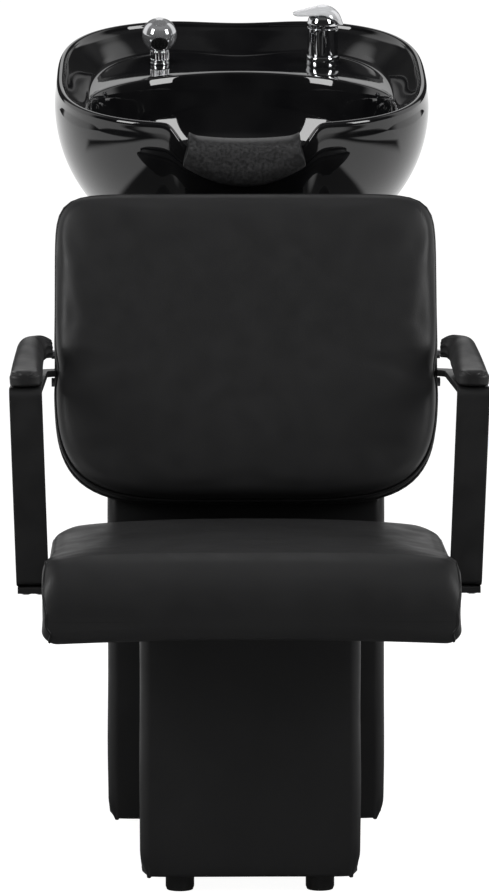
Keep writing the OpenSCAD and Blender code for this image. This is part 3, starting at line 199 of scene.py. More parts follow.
def coated_steel(tree, rough, base):
    """Powder-coated steel with a faint orange peel."""
    tone = noise_of(tree, 30.0, 4.0)
    return {
        "Base Color": two_tones(tree, tone, base, [c * 1.3 for c in base]),
        "Roughness": ranged(tree, tone, rough - 0.04, rough + 0.06),
        "Normal": bumped(tree, noise_of(tree, 700.0, 2.0), 0.18, 0.0003),
        "Specular IOR Level": 0.45
    }


def bright_metal(tree, rough, low, high, scale, metal=1.0):
    """Plated or turned metal with slight tone and gloss variation; a metal value under 1 leaves a white
    diffuse share that is a painted reflection.
    """
    tone = noise_of(tree, scale)
    return {
        "Base Color": two_tones(tree, tone, low, high),
        "Roughness": ranged(tree, tone, rough * 0.7, rough * 1.4),
        "Normal": bumped(tree, tone, 0.02, 0.0005),
        "Metallic": metal
    }


def glaze(tree, _):
    """Glossy black glaze over ceramic, with a very faint waviness."""
    tone = noise_of(tree, 14.0, 2.0)
    return {
        "Base Color": two_tones(tree, tone, (0.0035, 0.0035, 0.004), (0.007, 0.007, 0.0075)),
        "Normal": bumped(tree, noise_of(tree, 16.0, 1.0), 0.05, 0.001),
        "Specular IOR Level": 0.62, "Coat Weight": 0.5, "Coat Roughness": 0.02
    }


def rubber(tree, rough, low, high, scale, strength):
    """Moulded rubber or plastic with a mottled face."""
    tone = noise_of(tree, scale, 5.0, 0.65)
    return {
        "Base Color": two_tones(tree, tone, low, high, 0.38, 0.66),
        "Roughness": ranged(tree, tone, rough - 0.08, rough + 0.1),
        "Normal": bumped(tree, tone, strength, 0.0008),
        "Specular IOR Level": 0.4
    }


def birch(tree, _):
    """Birch plywood with a long grain."""
    grain = noise_of(tree, 26.0, 6.0, 0.6, (6.0, 6.0, 0.6))
    return {
        "Base Color": two_tones(tree, grain, (0.42, 0.29, 0.16), (0.66, 0.5, 0.32)),
        "Normal": bumped(tree, grain, 0.25, 0.0006)
    }


def new_material(name, surface, rough, *values):
    """Material whose shader takes the inputs that surface gives for a roughness and its other values."""
    mat = bpy.data.materials.new(name)
    mat.use_nodes = True
    tree = mat.node_tree
    shader = feed(tree, tree.nodes["Principled BSDF"], {"Roughness": rough})
    feed(tree, shader, surface(tree, rough, *values))
    return mat


DARK_RUBBER = (0.012, 0.012, 0.012), (0.02, 0.02, 0.02)
CHROME = (0.8, 0.81, 0.83), (0.88, 0.88, 0.9), 40.0
LOOKS = {
    "vinyl": ("black_vinyl", vinyl, 0.45, (0.0132, 0.0132, 0.0137), (0.0152, 0.0152, 0.0157), 0.2, 0.1, 0.02),
    "piping": ("piping_vinyl", vinyl, 0.4, (0.007, 0.007, 0.0075), (0.01, 0.01, 0.0105), 0.12, 0.05),
    "lining": ("lining_cloth", vinyl, 0.75, (0.012, 0.012, 0.013), (0.018, 0.018, 0.019), 0.5, 0.2),
    "black_steel": ("black_coated_steel", coated_steel, 0.4, (0.012, 0.012, 0.0124)),
    "zinc_steel": ("zinc_plate", bright_metal, 0.32, (0.5, 0.5, 0.53), (0.68, 0.68, 0.7), 120.0),
    "foot_rubber": ("foot_rubber", rubber, 0.55, *DARK_RUBBER, 220.0, 0.3),
    "neck_rubber": ("neck_rubber", rubber, 0.4, (0.011, 0.011, 0.0112), (0.03, 0.03, 0.031), 240.0, 0.5),
    "knob_plastic": ("knob_plastic", rubber, 0.5, (0.014, 0.014, 0.014), (0.02, 0.02, 0.02), 400.0, 0.2),
    "glazed_ceramic": ("black_glaze", glaze, 0.035),
    "chrome": ("chrome_plate", bright_metal, 0.06, *CHROME),
    # Chrome copy that is only half metallic: its white diffuse half is a painted reflection that brightens
    # the lever leaf.
    "half_painted_reflection_chrome": ("bright_chrome_plate", bright_metal, 0.1, *CHROME, 0.5),
    # Chrome copy that is mostly metallic: its small white diffuse share is a painted reflection that
    # brightens the spray ball.
    "faint_painted_reflection_chrome": ("soft_chrome_plate", bright_metal, 0.06, *CHROME, 0.86),
    "cartridge_plastic": ("cartridge_plastic", rubber, 0.5, (0.6, 0.6, 0.56), (0.7, 0.7, 0.66), 90.0, 0.1),
    "brass": ("brass", bright_metal, 0.28, (0.55, 0.38, 0.14), (0.7, 0.52, 0.22), 90.0),
    "jet_rubber": ("jet_rubber", rubber, 0.45, *DARK_RUBBER, 300.0, 0.2),
    "plywood": ("birch_plywood", birch, 0.6)
}
MATERIALS = {key: new_material(*look) for key, look in LOOKS.items()}


# Mesh building

def add_object(name, data):
    obj = bpy.data.objects.new(name, data)
    bpy.context.scene.collection.objects.link(obj)
    return obj


def add_mesh(name, points, faces, matrix, material, body, smooth_faces=True):
    mesh = bpy.data.meshes.new(name)
    mesh.from_pydata([matrix @ Vector(p) for p in points], [], faces, shade_flat=not smooth_faces)
    mesh.validate()
    mesh.update()
    mesh.materials.append(MATERIALS[material])
    obj = add_object(name, mesh)
    bpy.context.view_layer.update()
    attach(obj, body)
    return obj


def outward_faces(obj):
    """Joins points that meet and turns every face of a piece outwards."""
    bm = bmesh.new()
    bm.from_mesh(obj.data)
    bmesh.ops.remove_doubles(bm, verts=bm.verts, dist=1e-6)
    bmesh.ops.recalc_face_normals(bm, faces=bm.faces)
    bm.to_mesh(obj.data)
    bm.free()
    return obj


def add_skin(points, faces, stack, closed=False):
    """Adds quads between rings of equal length, each one open or closed."""
    first = len(points)
    n = len(stack[0])
    for ring in stack:
        points.extend(ring)
    for i in range(len(stack) - 1):
        a = first + i * n
        for j in range(n if closed else n - 1):
            k = (j + 1) % n
            faces.append((a + j, a + k, a + n + k, a + n + j))


def loft(name, rings, matrix, material, body, closed=False, smooth_faces=True):
    """Skin over rings of equal point count, with fanned ends unless it closes on itself."""
    n, m = len(rings[0]), len(rings)
    points, faces = [], []
    add_skin(points, faces, rings, closed=True)
    last = (m - 1) * n
    if closed:
        faces += [(last + j, last + (j + 1) % n, (j + 1) % n, j) for j in range(n)]
    else:
        for first in (0, last):
            points.append(tuple(sum(p[axis] for p in rings[first // n]) / n for axis in range(3)))
            faces += [(first + j, first + (j + 1) % n, len(points) - 1) for j in range(n)]
    return outward_faces(add_mesh(name, points, faces, matrix, material, body, smooth_faces))


def lathe(name, profile, matrix, material, body, steps=96, wave=None, hollow=False):
    """Solid of revolution about the local Z axis from (radius, height) pairs; wave varies the radius."""
    rings = []
    for r, h in profile:
        ring = []
        for a in around(steps):
            q = r * (wave(a, h) if wave else 1.0)
            ring.append((q * math.cos(a), q * math.sin(a), h))
        rings.append(ring)
    return loft(name, rings, matrix, material, body, closed=hollow)


def round_profile(corners, steps=5):
    """Rounds the corners of a (radius, height) profile; each corner is (r, h, rounding)."""
    out = []
    for i, (r, h, fillet) in enumerate(corners):
        if fillet <= 0 or i in (0, len(corners) - 1):
            out.append((r, h))
            continue
        here = Vector((r, h))
        back = Vector(corners[i - 1][:2]) - here
        ahead = Vector(corners[i + 1][:2]) - here
        cut = min(fillet, back.length * 0.45, ahead.length * 0.45)
        a = here + back.normalized() * cut
        b = here + ahead.normalized() * cut
        for t in even(0.0, 1.0, steps, 0):
            p = a * (1 - t) ** 2 + here * 2 * t * (1 - t) + b * t * t
            out.append((p.x, p.y))
    return out


def piping(name, path, radius, matrix, closed=True):
    """Round vinyl cord along a path of points."""
    sides = 10
    pts = [Vector(p) for p in path]
    count = len(pts)
    rings = []
    up = None
    for i, here in enumerate(pts):
        if closed:
            ahead = pts[(i + 1) % count] - pts[i - 1]
        else:
            ahead = pts[min(i + 1, count - 1)] - pts[max(i - 1, 0)]
        ahead.normalize()
        if up is None:
            up = Vector((0, 0, 1)) if abs(ahead.z) < 0.9 else Vector((0, 1, 0))
        side = ahead.cross(up).normalized()
        up = side.cross(ahead).normalized()
        rings.append([tuple(here + (side * math.cos(a) + up * math.sin(a)) * radius) for a in around(sides)])
    return loft(name, rings, matrix, "piping", "chair", closed=closed)


def modify(obj, name, kind, **settings):
    return settle(obj.modifiers.new(name, kind), **settings)


def subdivide(obj, levels):
    modify(obj, "finer", "SUBSURF", levels=levels, render_levels=levels)


def cut_away(obj, low, high, matrix):
    """Cuts a box out of a closed piece; the box runs from low to high in the local millimetres."""
    corners = [(x, y, z) for x in (low[0], high[0]) for y in (low[1], high[1]) for z in (low[2], high[2])]
    mesh = bpy.data.meshes.new("cutter")
    faces = [(0, 1, 3, 2), (4, 6, 7, 5), (0, 4, 5, 1), (2, 3, 7, 6), (0, 2, 6, 4), (1, 5, 7, 3)]
    mesh.from_pydata([matrix @ Vector(c) for c in corners], [], faces)
    cutter = outward_faces(add_object("cutter", mesh))
    mod = modify(obj, "cut", "BOOLEAN", operation="DIFFERENCE", solver="EXACT", object=cutter)
    graph = bpy.context.evaluated_depsgraph_get()
    done = bpy.data.meshes.new_from_object(obj.evaluated_get(graph))
    obj.modifiers.remove(mod)
    obj.data = done
    bpy.data.objects.remove(cutter)


def swell(obj, pins, pressure, cap):
    """Blows a closed cushion up as cloth, with some points held, and keeps each move under a cap."""
    frames = 20
    group = obj.vertex_groups.new(name="held")
    for v in obj.data.vertices:
        weight = pins(v.co)
        if weight > 0:
            group.add([v.index], weight, "REPLACE")
    start = [v.co.copy() for v in obj.data.vertices]
    mod = obj.modifiers.new("cloth", "CLOTH")
    settle(
        mod.settings, quality=6, mass=0.25, tension_stiffness=20, compression_stiffness=20,
        shear_stiffness=8, bending_stiffness=2.0, use_pressure=True, uniform_pressure_force=pressure,
        vertex_group_mass="held"
    )
    mod.settings.effector_weights.gravity = 0
    settle(mod.point_cache, frame_start=1, frame_end=frames)
    scene = bpy.context.scene
    for f in range(1, frames + 1):
        scene.frame_set(f)
    graph = bpy.context.evaluated_depsgraph_get()
    moved = [v.co.copy() for v in obj.evaluated_get(graph).data.vertices]
    obj.modifiers.remove(mod)
    scene.frame_set(1)
    for v, a, b in zip(obj.data.vertices, start, moved):
        shift = b - a
        if shift.length > cap:
            shift *= cap / shift.length
        v.co = a + shift
    obj.vertex_groups.clear()
    obj.data.update()


# Pedestal covers: wrapped vinyl with round upright edges and tucked lower corners

COVER_R, COVER_T = 14, 5
FRONT_BOX_HALF, FRONT_BOX_Y, FRONT_BOX_TOP = 134, 120, 357
REAR_BOX_HALF, REAR_BOX_Y, REAR_BOX_REAR, REAR_TOP = 176.5, 457, 985, 670
# Height over which the lower edge is tucked in, and how far the front cover hangs below its box
TUCK_H, HEM = 26, 4.5
COVER_FOOT = [FOOT_TOP + z for z in (0.0, 1.2, 3.0, 6.0, 10.0, 15.0, 20.0, 26.0)]
# Height where the front of the rear box starts to slope, and the softness of that bend
SLOPE_Z, SLOPE_BEND = 427.5, 7
SLOPE = math.tan(math.radians(BACK_LEAN))
TOP_R = 6
# Opening for the hoses in the top of the rear box
HATCH_MID, HATCH_HALF = HALF_D + 310.8 + 6, 59


def cover_outline(half, y0, y1):
    """Outline from the rear left, round the front, to the rear right: places and outward directions."""
    side_steps, corner_steps, front_steps = 14, 10, 26
    start = y0 + COVER_R

    def corner(x, first):
        angles = [first + math.pi / 2 * i / corner_steps for i in range(corner_steps + 1)]
        ways = [(math.cos(a), math.sin(a)) for a in angles]
        return [(x + COVER_R * nx, start + COVER_R * ny, nx, ny) for nx, ny in ways]

    left = [(-half, mix(y1, start, i / side_steps), -1.0, 0.0) for i in range(side_steps)]
    front = [(x, y0, 0.0, -1.0) for x in even(COVER_R - half, half - COVER_R, front_steps)[:-1]]
    right = [(half, y, 1.0, 0.0) for y in even(start, y1, side_steps)]
    return left + corner(COVER_R - half, math.pi) + front + corner(half - COVER_R, 1.5 * math.pi) + right


def cover_walls(outline, levels, seed, shove=None, roll=None):
    """Rings of the standing walls, level by level; shove moves the front back and roll draws a level in."""
    half, y_rear = -outline[0][0], outline[0][1]
    y0 = min(p[1] for p in outline)
    rings = []
    for z in levels:
        back = shove(z) if shove else 0.0
        inset, rise = roll(z) if roll else (0.0, z)
        foot = clamp01((FOOT_TOP + TUCK_H - z) / TUCK_H)
        full_low = 0.9 * bell(z - FOOT_TOP - 95, 70)
        ring = []
        for x, y, nx, ny in outline:
            corner = clamp01(min(abs(nx), abs(ny)) * 2.2)
            near_corner = max(corner, bell(abs(x) - half, 16) * bell(y - y0 - 12, 18))
            tuck = -6.5 * foot * foot * near_corner - 1.6 * foot ** 3
            ripple = 0.5 * noise.noise(Vector((x * 0.012 + seed, z * 0.011, ny * 0.8 + nx)))
            d = tuck + full_low * abs(nx) + ripple - inset
            droop = -3.0 * corner * clamp01((FOOT_TOP + 8 - z) / 8)
            share = clamp01((y_rear - y) / (y_rear - y0 - COVER_R))
            ring.append((x + nx * d, y + back * share + ny * d, rise + droop))
        rings.append(ring)
    return rings


def inner_ring(ring, outline):
    """The ring at the inner side of the cover."""
    return [(x - nx * COVER_T, y - ny * COVER_T, z) for (x, y, z), (_, _, nx, ny) in zip(ring, outline)]


def front_cover():
    outline = cover_outline(FRONT_BOX_HALF, FRONT_BOX_Y, REAR_BOX_Y)
    levels = [FOOT_TOP - HEM] + COVER_FOOT + even(FOOT_TOP + TUCK_H, FRONT_BOX_TOP, 40)
    walls = cover_walls(outline, levels, 1.3)
    points, faces = [], []
    add_skin(points, faces, [inner_ring(walls[0], outline), *walls, inner_ring(walls[-1], outline)])
    obj = outward_faces(add_mesh("front_cover", points, faces, ROW, "vinyl", "chair"))
    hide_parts("front_box_cover")


def rear_slope(z):
    """How far the sloped front has moved back at a height, with a soft bend."""
    if z <= SLOPE_Z - 60:
        return 0.0
    return SLOPE_BEND * math.log1p(math.exp(min(60.0, (z - SLOPE_Z) / SLOPE_BEND))) * SLOPE


def top_roll(z):
    """Rounds the top edge: how far in, and at what height. Levels over the top count its turn from 0 to 1."""
    if z <= REAR_TOP:
        return 0.0, z
    turn = 90 * (z - REAR_TOP)
    return TOP_R * (1 - cosd(turn)), REAR_TOP - TOP_R + TOP_R * sind(turn)


def rear_cover():
    outline = cover_outline(REAR_BOX_HALF, REAR_BOX_Y, REAR_BOX_REAR)
    levels = COVER_FOOT + even(FOOT_TOP + TUCK_H, REAR_TOP - TOP_R, 64) + even(REAR_TOP, REAR_TOP + 1, 6)
    walls = cover_walls(outline, levels, 7.9, rear_slope, top_roll)
    points, faces = [], []
    add_skin(points, faces, [inner_ring(walls[0], outline)] + walls)
    rim = walls[-1]
    rear_line = [(x, REAR_BOX_REAR, REAR_TOP) for x in even(rim[-1][0], rim[0][0], 16, 0)]
    edge = rim[:-1] + rear_line[:-1]
    hatch = []
    for x, y, _ in edge:
        a = math.atan2(y - HATCH_MID, x)
        r = oval_radius(a, HATCH_HALF, HATCH_HALF, 7)
        hatch.append((r * math.cos(a), HATCH_MID + r * math.sin(a)))
    stack = []
    for t in (0.0, 0.06, 0.3, 0.7, 0.96, 1.0):
        z = REAR_TOP + 0.8 * math.sin(math.pi * t)
        stack.append([(mix(x, hx, t), mix(y, hy, t), z) for (x, y, _), (hx, hy) in zip(edge, hatch)])
    stack.append([(x, y, REAR_TOP - 8) for x, y in hatch])
    add_skin(points, faces, stack, closed=True)
    for side, column in ((-1, 0), (1, -1)):
        upright = [ring[column] for ring in walls]
        inner = [(x - side * COVER_T, y, min(z, REAR_TOP - COVER_T)) for x, y, z in upright]
        add_skin(points, faces, [upright, inner])
    add_skin(points, faces, [rear_line, [(x, y, z - COVER_T) for x, y, z in rear_line]])
    obj = outward_faces(add_mesh("rear_cover", points, faces, ROW, "vinyl", "chair"))
    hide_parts("rear_box_cover")


def trimmed_box(node, name, half, y0):
    """Takes the node's own plywood and trims its two lower front corners, where the cover is tucked in."""
    trim = 30
    obj = add_object(name, frame["nodes"][node].data.copy())
    obj.data.materials.clear()
    obj.data.materials.append(MATERIALS["plywood"])
    outward_faces(obj)
    for side in (-1, 1):
        facing = Vector((side / trim, -1 / trim, -1 / TUCK_H))
        inward = COVER_T + trim / 3
        middle = Vector((side * (half - inward), y0 + inward, FOOT_TOP + TUCK_H / 3))
        turn = facing.to_track_quat("Z", "Y").to_matrix().to_4x4()
        cut_away(obj, (-70, -70, 0), (70, 70, 50), ROW @ Matrix.Translation(middle) @ turn)
    bpy.context.view_layer.update()
    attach(obj, "chair")
    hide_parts(node)


front_cover()
rear_cover()
trimmed_box("front_box_carcass", "front_box_wood", FRONT_BOX_HALF, FRONT_BOX_Y)
trimmed_box("rear_box_sides", "rear_box_wood", REAR_BOX_HALF, REAR_BOX_Y)


# Seat

# Length of the rounded rear end, and the squareness of the crown over the width
SEAT_TAIL, CROWN_POWER = 90, 2.5
# Place of the piping on the front face, and its height over the lower edge
SEAM_Y, SEAM_LOW = 1.8, 3.6


def seat_half(y):
    waist = mix(SEAT_W / 2, SEAT_W / 2 - 6.5, smooth((y - 90) / 100))
    tail = clamp01((y - (SEAT_D - SEAT_TAIL)) / SEAT_TAIL)
    nose = clamp01((14 - y) / 14)
    return waist - 70 * (1 - arc(tail)) - 6 * nose * nose


def seat_upper(y):
    nose = clamp01((46 - y) / 46)
    tail = clamp01((y - (SEAT_D - 40)) / 40)
    crest = SEAT_TOP + 47 - 8 * smooth((y - 60) / 300) - 8 * tail * tail
    return mix(SEAT_UNDER - 6, crest, arc(nose))


def seat_lower(y):
    nose = clamp01((16 - y) / 16)
    lip = mix(SEAT_UNDER - 18, SEAT_UNDER - 41, arc(nose))
    return mix(lip, SEAT_TOP + 0.3, smooth((y - 50) / 5))


def seat_bulge(y, share):
    """How far the side stands out at a share of its height: barrel shaped near the front."""
    return (2.0 - 20 * (share - 0.52) ** 2) * clamp01((80 - y) / 40) * clamp01((y - 2) / 12)


def seat_radii(y):
    """Corner radii of the section at a station: below and above."""
    most = (seat_upper(y) - seat_lower(y)) * 0.48
    return min(mix(17, 5, smooth((y - 40) / 15)), most), min(mix(21, 30, smooth((y - 20) / 120)), most)


def seat_crown(y):
    return mix(4.0, 9.0, smooth((y - 60) / 120))


def seat_side(y, z):
    """Point on the side of the cushion at a station and a height before crowning."""
    low, high = seat_lower(y), seat_upper(y)
    r_low, r_top = seat_radii(y)
    share = clamp01((z - low) / (high - low))
    r, gap = (r_low, z - low) if z - low < high - z else (r_top, high - z)
    corner = r - math.sqrt(r * r - (r - gap) ** 2) if gap < r else 0.0
    return seat_half(y) - corner + seat_bulge(y, share), y, z - seat_crown(y) * share


def corner_arc(x, z, r, start, steps):
    """Points of a quarter corner; x and z are its centre."""
    angles = [start + 90 * i / (steps - 1) for i in range(steps)]
    return [(x + r * cosd(a), z + r * sind(a)) for a in angles]


def seat_ring(y):
    """Section across the seat: rounded corners, a slightly full top, sides drawn in behind the front roll."""
    half, high, low = seat_half(y), seat_upper(y), seat_lower(y)
    tall = high - low
    r_low, r_top = seat_radii(y)
    across = 17
    under = [(mix(0, half - r_low, i / across), low) for i in range(across)]
    right = corner_arc(half - r_low, low + r_low, r_low, -90, 9)
    right += [(half, z) for z in even(low + r_low, high - r_top, 9)[:-1]]
    right += corner_arc(half - r_top, high - r_top, r_top, 0, 10)
    top_x = right[-1][0]
    right += [(x, high) for x in even(top_x, 0, across)[:-1]]
    half_ring = under + right
    out = []
    for x, z in half_ring + [(-x, z) for x, z in reversed(half_ring[1:])]:
        share = clamp01((z - low) / tall) if tall > 1 else 0.0
        crown = seat_crown(y) * abs(x / half) ** CROWN_POWER * share
        sag = 5.5 * (1 - (x / half) ** 2) * (1 - share) * clamp01((50 - y) / 20)
        pull = 1.2 * bell(y - 196, 26) * clamp01((abs(x) - half + 30) / 30)
        pull -= seat_bulge(y, share) * clamp01(abs(x) / half) ** 4
        out.append((x - math.copysign(pull, x), y, z - crown + sag))
    return out


def seat_stations():
    out = [0.4, 1.2, 2.6, 5, 8, 12, 17, 23, 30, 37, 44, 48.5, 50.5, 52.5, 54.5, 57, 62, 70]
    out += even(70, SEAT_D - SEAT_TAIL, 30)
    turns = (8, 16, 24, 32, 40, 48, 56, 64, 72, 79, 85.2)
    return out + [SEAT_D - SEAT_TAIL + SEAT_TAIL * sind(turn) for turn in turns]


def seat_pins(co):
    """The board's side, the edges and the front lip are held; the top is free."""
    x, y, z = abs(co.x / MM), co.y / MM + HALF_D, co.z / MM
    if z < SEAT_TOP + 6 and y > 48:
        return 1.0
    if y < 60:
        held = max(clamp01((SEAT_UNDER + 38 - z) / 26), clamp01((x - seat_half(y) + 30) / 20))
        if held > 0:
            return held
    return 0.85 if x > seat_half(y) - 6 or y > SEAT_D - 14 else 0.0


def side_seam(side):
    """Path of the piping: from under the front lip, up the front face, back along the top edge."""
    stations = [(y, seat_lower(y) + SEAM_LOW) for y in (30, 22, 15, 9, 5, 3)]
    stations += [(SEAM_Y, z) for z in even(seat_lower(SEAM_Y) + SEAM_LOW, seat_upper(SEAM_Y) - 14, 6, 0)]
    for y in (2.6, 3.6, 5, 7, 10, 14, 19, 25, 32, 40, 50, 62):
        stations.append((y, seat_upper(y) - mix(14, 9.5, smooth(y / 50))))
    for y in (78, 95, 115, 140, 165, 190, 215, 245, 280, 320, 350, 365, 380, 395, 408, 418):
        stations.append((y, seat_upper(y) - mix(9.5, 15.0, smooth((y - 60) / 110))))
    path = [seat_side(y, z) for y, z in stations]
    return [(side * (x - 0.6), y - 0.3, z) for x, y, z in path]


seat = loft("seat_pad", [seat_ring(y) for y in seat_stations()], ROW, "vinyl", "chair")
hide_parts("seat_cushion")
swell(seat, seat_pins, 2.0, 0.0025)
subdivide(seat, 1)
for side, label in ((-1, "left"), (1, "right")):
    seam = piping(f"seat_piping_{label}", side_seam(side), 1.7, ROW, closed=False)
    subdivide(seam, 1)


# Backrest

# Height of the arm fixings, the squareness of the upper corners, and the points around a piping
TAB_Z, TOP_N, PIPING_POINTS = 172, 11.0, 220
# Lower corners: their squareness, how far the lower edge and how far the sides stand out
PAD_FOOT = (4.3, -4.0, 0.0)
SHELL_FOOT = (4.5, -1.0, 2.4)
SEAM_FOOT = (4.4, -2.8, 0.8)
SHELL_PINCH = 2.5
PAD_LAYERS = (
    (31 - 0.3, 3.5), (29, 1.2), (26, 0.2), (23, 0.0), (19.5, 0.4), (16, 1.1), (12.6, 2.3), (9.4, 4.2),
    (6.6, 6.8), (4.6, 10.2), (3.2, 14.6), (2.3, 20.4), (1.7, 28.5), (1.2, 40.0), (0.8, 54.0), (0.5, 72.0),
    (0.3, 94.0), (0.15, 116.0), (0.05, 138.0), (0.0, 160.0), (0.0, 180.0)
)
SHELL_LAYERS = (
    (30.5, 6, 0.4), (31.5, 3.5, 0.6), (34, 2.6, 0.8), (38, 2.2, 0.9), (44, 2.0, 1.0), (50, 1.6, 1.0),
    (54, 1.4, 1.0), (58, 2.6, 1.0), (61, 5, 1.0), (63, 8.5, 1.0), (64.4, 14, 1.0), (65, 24, 1.0),
    (65, 60, 1.0), (65, 110, 1.0), (65, 170, 1.0)
)


def back_ring(depth, inset, foot=PAD_FOOT, pinch=4.0, count=168):
    """Outline of the backrest at a depth, drawn in by an inset and at the arm fixings by the pinch."""
    foot_n, foot_out, side_out = foot
    ring = []
    for a in around(count, 0.5):
        a += 0.18 * math.sin(4 * a + math.pi) * 0.5
        half = BACK_W / 2 - inset + side_out * smooth((0.25 - math.sin(a)) / 0.4)
        rise = BACK_H / 2 - inset + foot_out * clamp01(-math.sin(a) * 3)
        r = oval_radius(a, half, rise, TOP_N if math.sin(a) > 0 else foot_n)
        x, z = r * math.cos(a), BACK_H / 2 + r * math.sin(a)
        tug = pinch * bell(z - TAB_Z, 17) * clamp01(abs(x) / (BACK_W / 2)) ** 6
        ring.append((x - math.copysign(tug, x), depth, z))
    return ring


def face_depth(x, z):
    """Hollows that the arm fixings draw in the face of the backrest."""
    hollow = 0.0
    for side in (-1, 1):
        dx = (side * BACK_W / 2 - x) * side
        dz = z - (TAB_Z - 4 - dx * 0.28)
        hollow += 3.0 * bell(dx - 10, 52) * bell(dz, 17 + dx * 0.16)
    return hollow


def pad_rings():
    rings = []
    for depth, inset in PAD_LAYERS:
        foot = (mix(PAD_FOOT[0], 3.0, clamp01((inset - 20) / 140)), *PAD_FOOT[1:])
        ring = back_ring(depth, inset, foot)
        rings.append([(x, y + face_depth(x, z) * clamp01(inset / 12), z) for x, y, z in ring])
    return rings


def shell_rings():
    rings = []
    for depth, inset, grow in SHELL_LAYERS:
        foot = [mix(a, b, grow) for a, b in zip(PAD_FOOT, SHELL_FOOT)]
        rings.append(back_ring(depth, inset, foot, SHELL_PINCH))
    return rings


def back_pins(co):
    """The board's side is held, and the face where the arms are fixed."""
    p = BACK_INVERSE @ co
    if p.y > 21:
        return 1.0
    near = min(Vector((p.x - side * 214, p.z - TAB_Z)).length for side in (-1, 1))
    return 0.8 if near < 16 else 0.0


BACK_INVERSE = BACK.inverted()
back_pad = loft("back_pad", pad_rings(), BACK, "vinyl", "chair")
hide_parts("back_cushion")
swell(back_pad, back_pins, 1.2, 0.0015)
subdivide(back_pad, 1)

shell = loft("back_wrap", shell_rings(), BACK, "vinyl", "chair")
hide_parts("back_shell", "back_board")
subdivide(shell, 1)

piping("back_piping", back_ring(28.8, 0.2, SEAM_FOOT, count=PIPING_POINTS), 2.3, BACK)
piping("back_rear_piping", back_ring(55.5, 1.2, SHELL_FOOT, SHELL_PINCH, PIPING_POINTS), 1.9, BACK)


# Arms

# Length of the run from its front to its turn, and the radius of the turn along the bar's middle
TURN_Y, TURN_R = BACK_FRONT + 62 - ARM_FRONT, 30
PAD_STRAIGHT, PAD_R, PAD_TURN = TURN_Y - 52, 34, 78
PAD_END = PAD_STRAIGHT + PAD_R * math.radians(PAD_TURN)


def bar_section(width, thick, corner=1.2, steps=3):
    pts = []
    for sx, sy, start in ((1, 1, 0), (-1, 1, 90), (-1, -1, 180), (1, -1, 270)):
        x, y = sx * (width / 2 - corner), sy * (thick / 2 - corner)
        pts += corner_arc(x, y, corner, start, steps + 1)
    return pts


def arm_path():
    """Frames (point, width and thickness directions) along the middle of the bent bar, in the arm frame."""
    across = Vector((1, 0, 0))
    upright = 180 + math.degrees(math.atan((ARM_FOOT - ARM_FRONT) / (ARM_RISE - BAR_T)))
    frames = []

    def put(y, z, angle):
        frames.append((Vector((0, y, z)), across.copy(), Vector((0, cosd(angle), sind(angle)))))

    def bend(y, z, start, end):
        for angle in even(start, end, 10, 0):
            put(y + BEND_MID * cosd(angle), z + BEND_MID * sind(angle), angle)

    for y in (240, 238.8, 236, 226):
        put(y, BAR_T / 2, 270)
    bend(ARM_FOOT + BEND_OUT, BEND_OUT, 270, upright)
    first = frames[-1][0]
    last_y = FOLD_Y + BEND_MID * cosd(upright)
    last_z = FOLD_Z + BEND_MID * sind(upright)
    for t in even(0.0, 1.0, 12)[:-1]:
        put(mix(first.y, last_y, t), mix(first.z, last_z, t), upright)
    bend(FOLD_Y, FOLD_Z, upright, 90 - RUN_SLOPE)
    slope = Matrix.Rotation(math.radians(-RUN_SLOPE), 3, "X")
    start = frames[-1][0]
    normal = slope @ Vector((0, 0, 1))
    ahead = slope @ Vector((0, 1, 0))
    run = TURN_Y - BEND_OUT
    for i in range(1, 13):
        frames.append((start + ahead * run * i / 12, across.copy(), normal.copy()))
    centre = start + ahead * run - across * TURN_R
    for angle in even(0, 90, 14):
        width = across * cosd(angle) + ahead * sind(angle)
        frames.append((centre + width * TURN_R, width, normal.copy()))
    return frames


def arm_bar(mirror, label):
    section = bar_section(BAR_W, BAR_T)
    rings = [[tuple(p + width * u + thick * v) for u, v in section] for p, width, thick in arm_path()]
    bar = loft(f"{label}_arm_flat", rings, mirror @ ARM, "black_steel", "chair")
    modify(bar, "flat", "WEIGHTED_NORMAL", mode="FACE_AREA", weight=60)
    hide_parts(f"{label}_arm_bar")


def arm_plate(mirror, label):
    """End plate of the bar, upright against the side of the backrest."""
    inner, outer, edge = 236.3, 243.0, 0.8
    rings = []
    for x, shrink in ((inner, 0.0), (outer - edge, 0.0), (outer, edge)):
        corners = bar_section(19, 60, 3, 4)
        rings.append([(x, 41.5 + u * (1 - shrink / 10), 176 + v * (1 - shrink / 30)) for u, v in corners])
    loft(f"{label}_arm_plate", rings, mirror @ BACK, "black_steel", "chair", smooth_faces=False)


def pad_ring(s):
    """Section of the arm pad at a distance along it: flat at the front, round and gathered at the rear."""
    turn = max(0.0, s - PAD_STRAIGHT) / PAD_R
    px, py = -PAD_R + PAD_R * math.cos(turn), min(s, PAD_STRAIGHT) + PAD_R * math.sin(turn)
    nose = clamp01((9 - s) / 9)
    tail = clamp01((s - PAD_END + 22) / 22)
    shape = math.sqrt(1 - 0.9 * nose * nose) * math.sqrt(1 - 0.75 * tail * tail)
    rear = smooth((s - 60) / 170)
    half = (19 - 1.5 * rear) * shape
    high = mix(20, 48, smooth(s / 250)) - 5 * nose * nose - 8 * tail * tail
    low = 0.3 + 18 * smooth((s - TURN_Y + 62) / 50) + 3 * nose * nose
    lower, upper = mix(0.3, 0.7, rear), mix(0.75, 1.0, rear)
    ring = []
    for b in around(72):
        pleats = 0.9 * max(0.0, 1 - s / 26) * math.sin(9 * b + 0.6) * max(0.0, math.sin(b) + 0.35)
        pleats += 1.5 * max(0.0, 1 - (PAD_END - s) / 34) * math.sin(11 * b + 1.2)
        x = (half + pleats) * full(math.cos(b), mix(0.5, 0.9, rear))
        z = ((high - low) / 2 + pleats * 0.7) * full(math.sin(b), lower if math.sin(b) < 0 else upper)
        z = max(z, -(high - low) / 2)
        ring.append((px + x * math.cos(turn), py + x * math.sin(turn), (high + low) / 2 + z))
    return ring


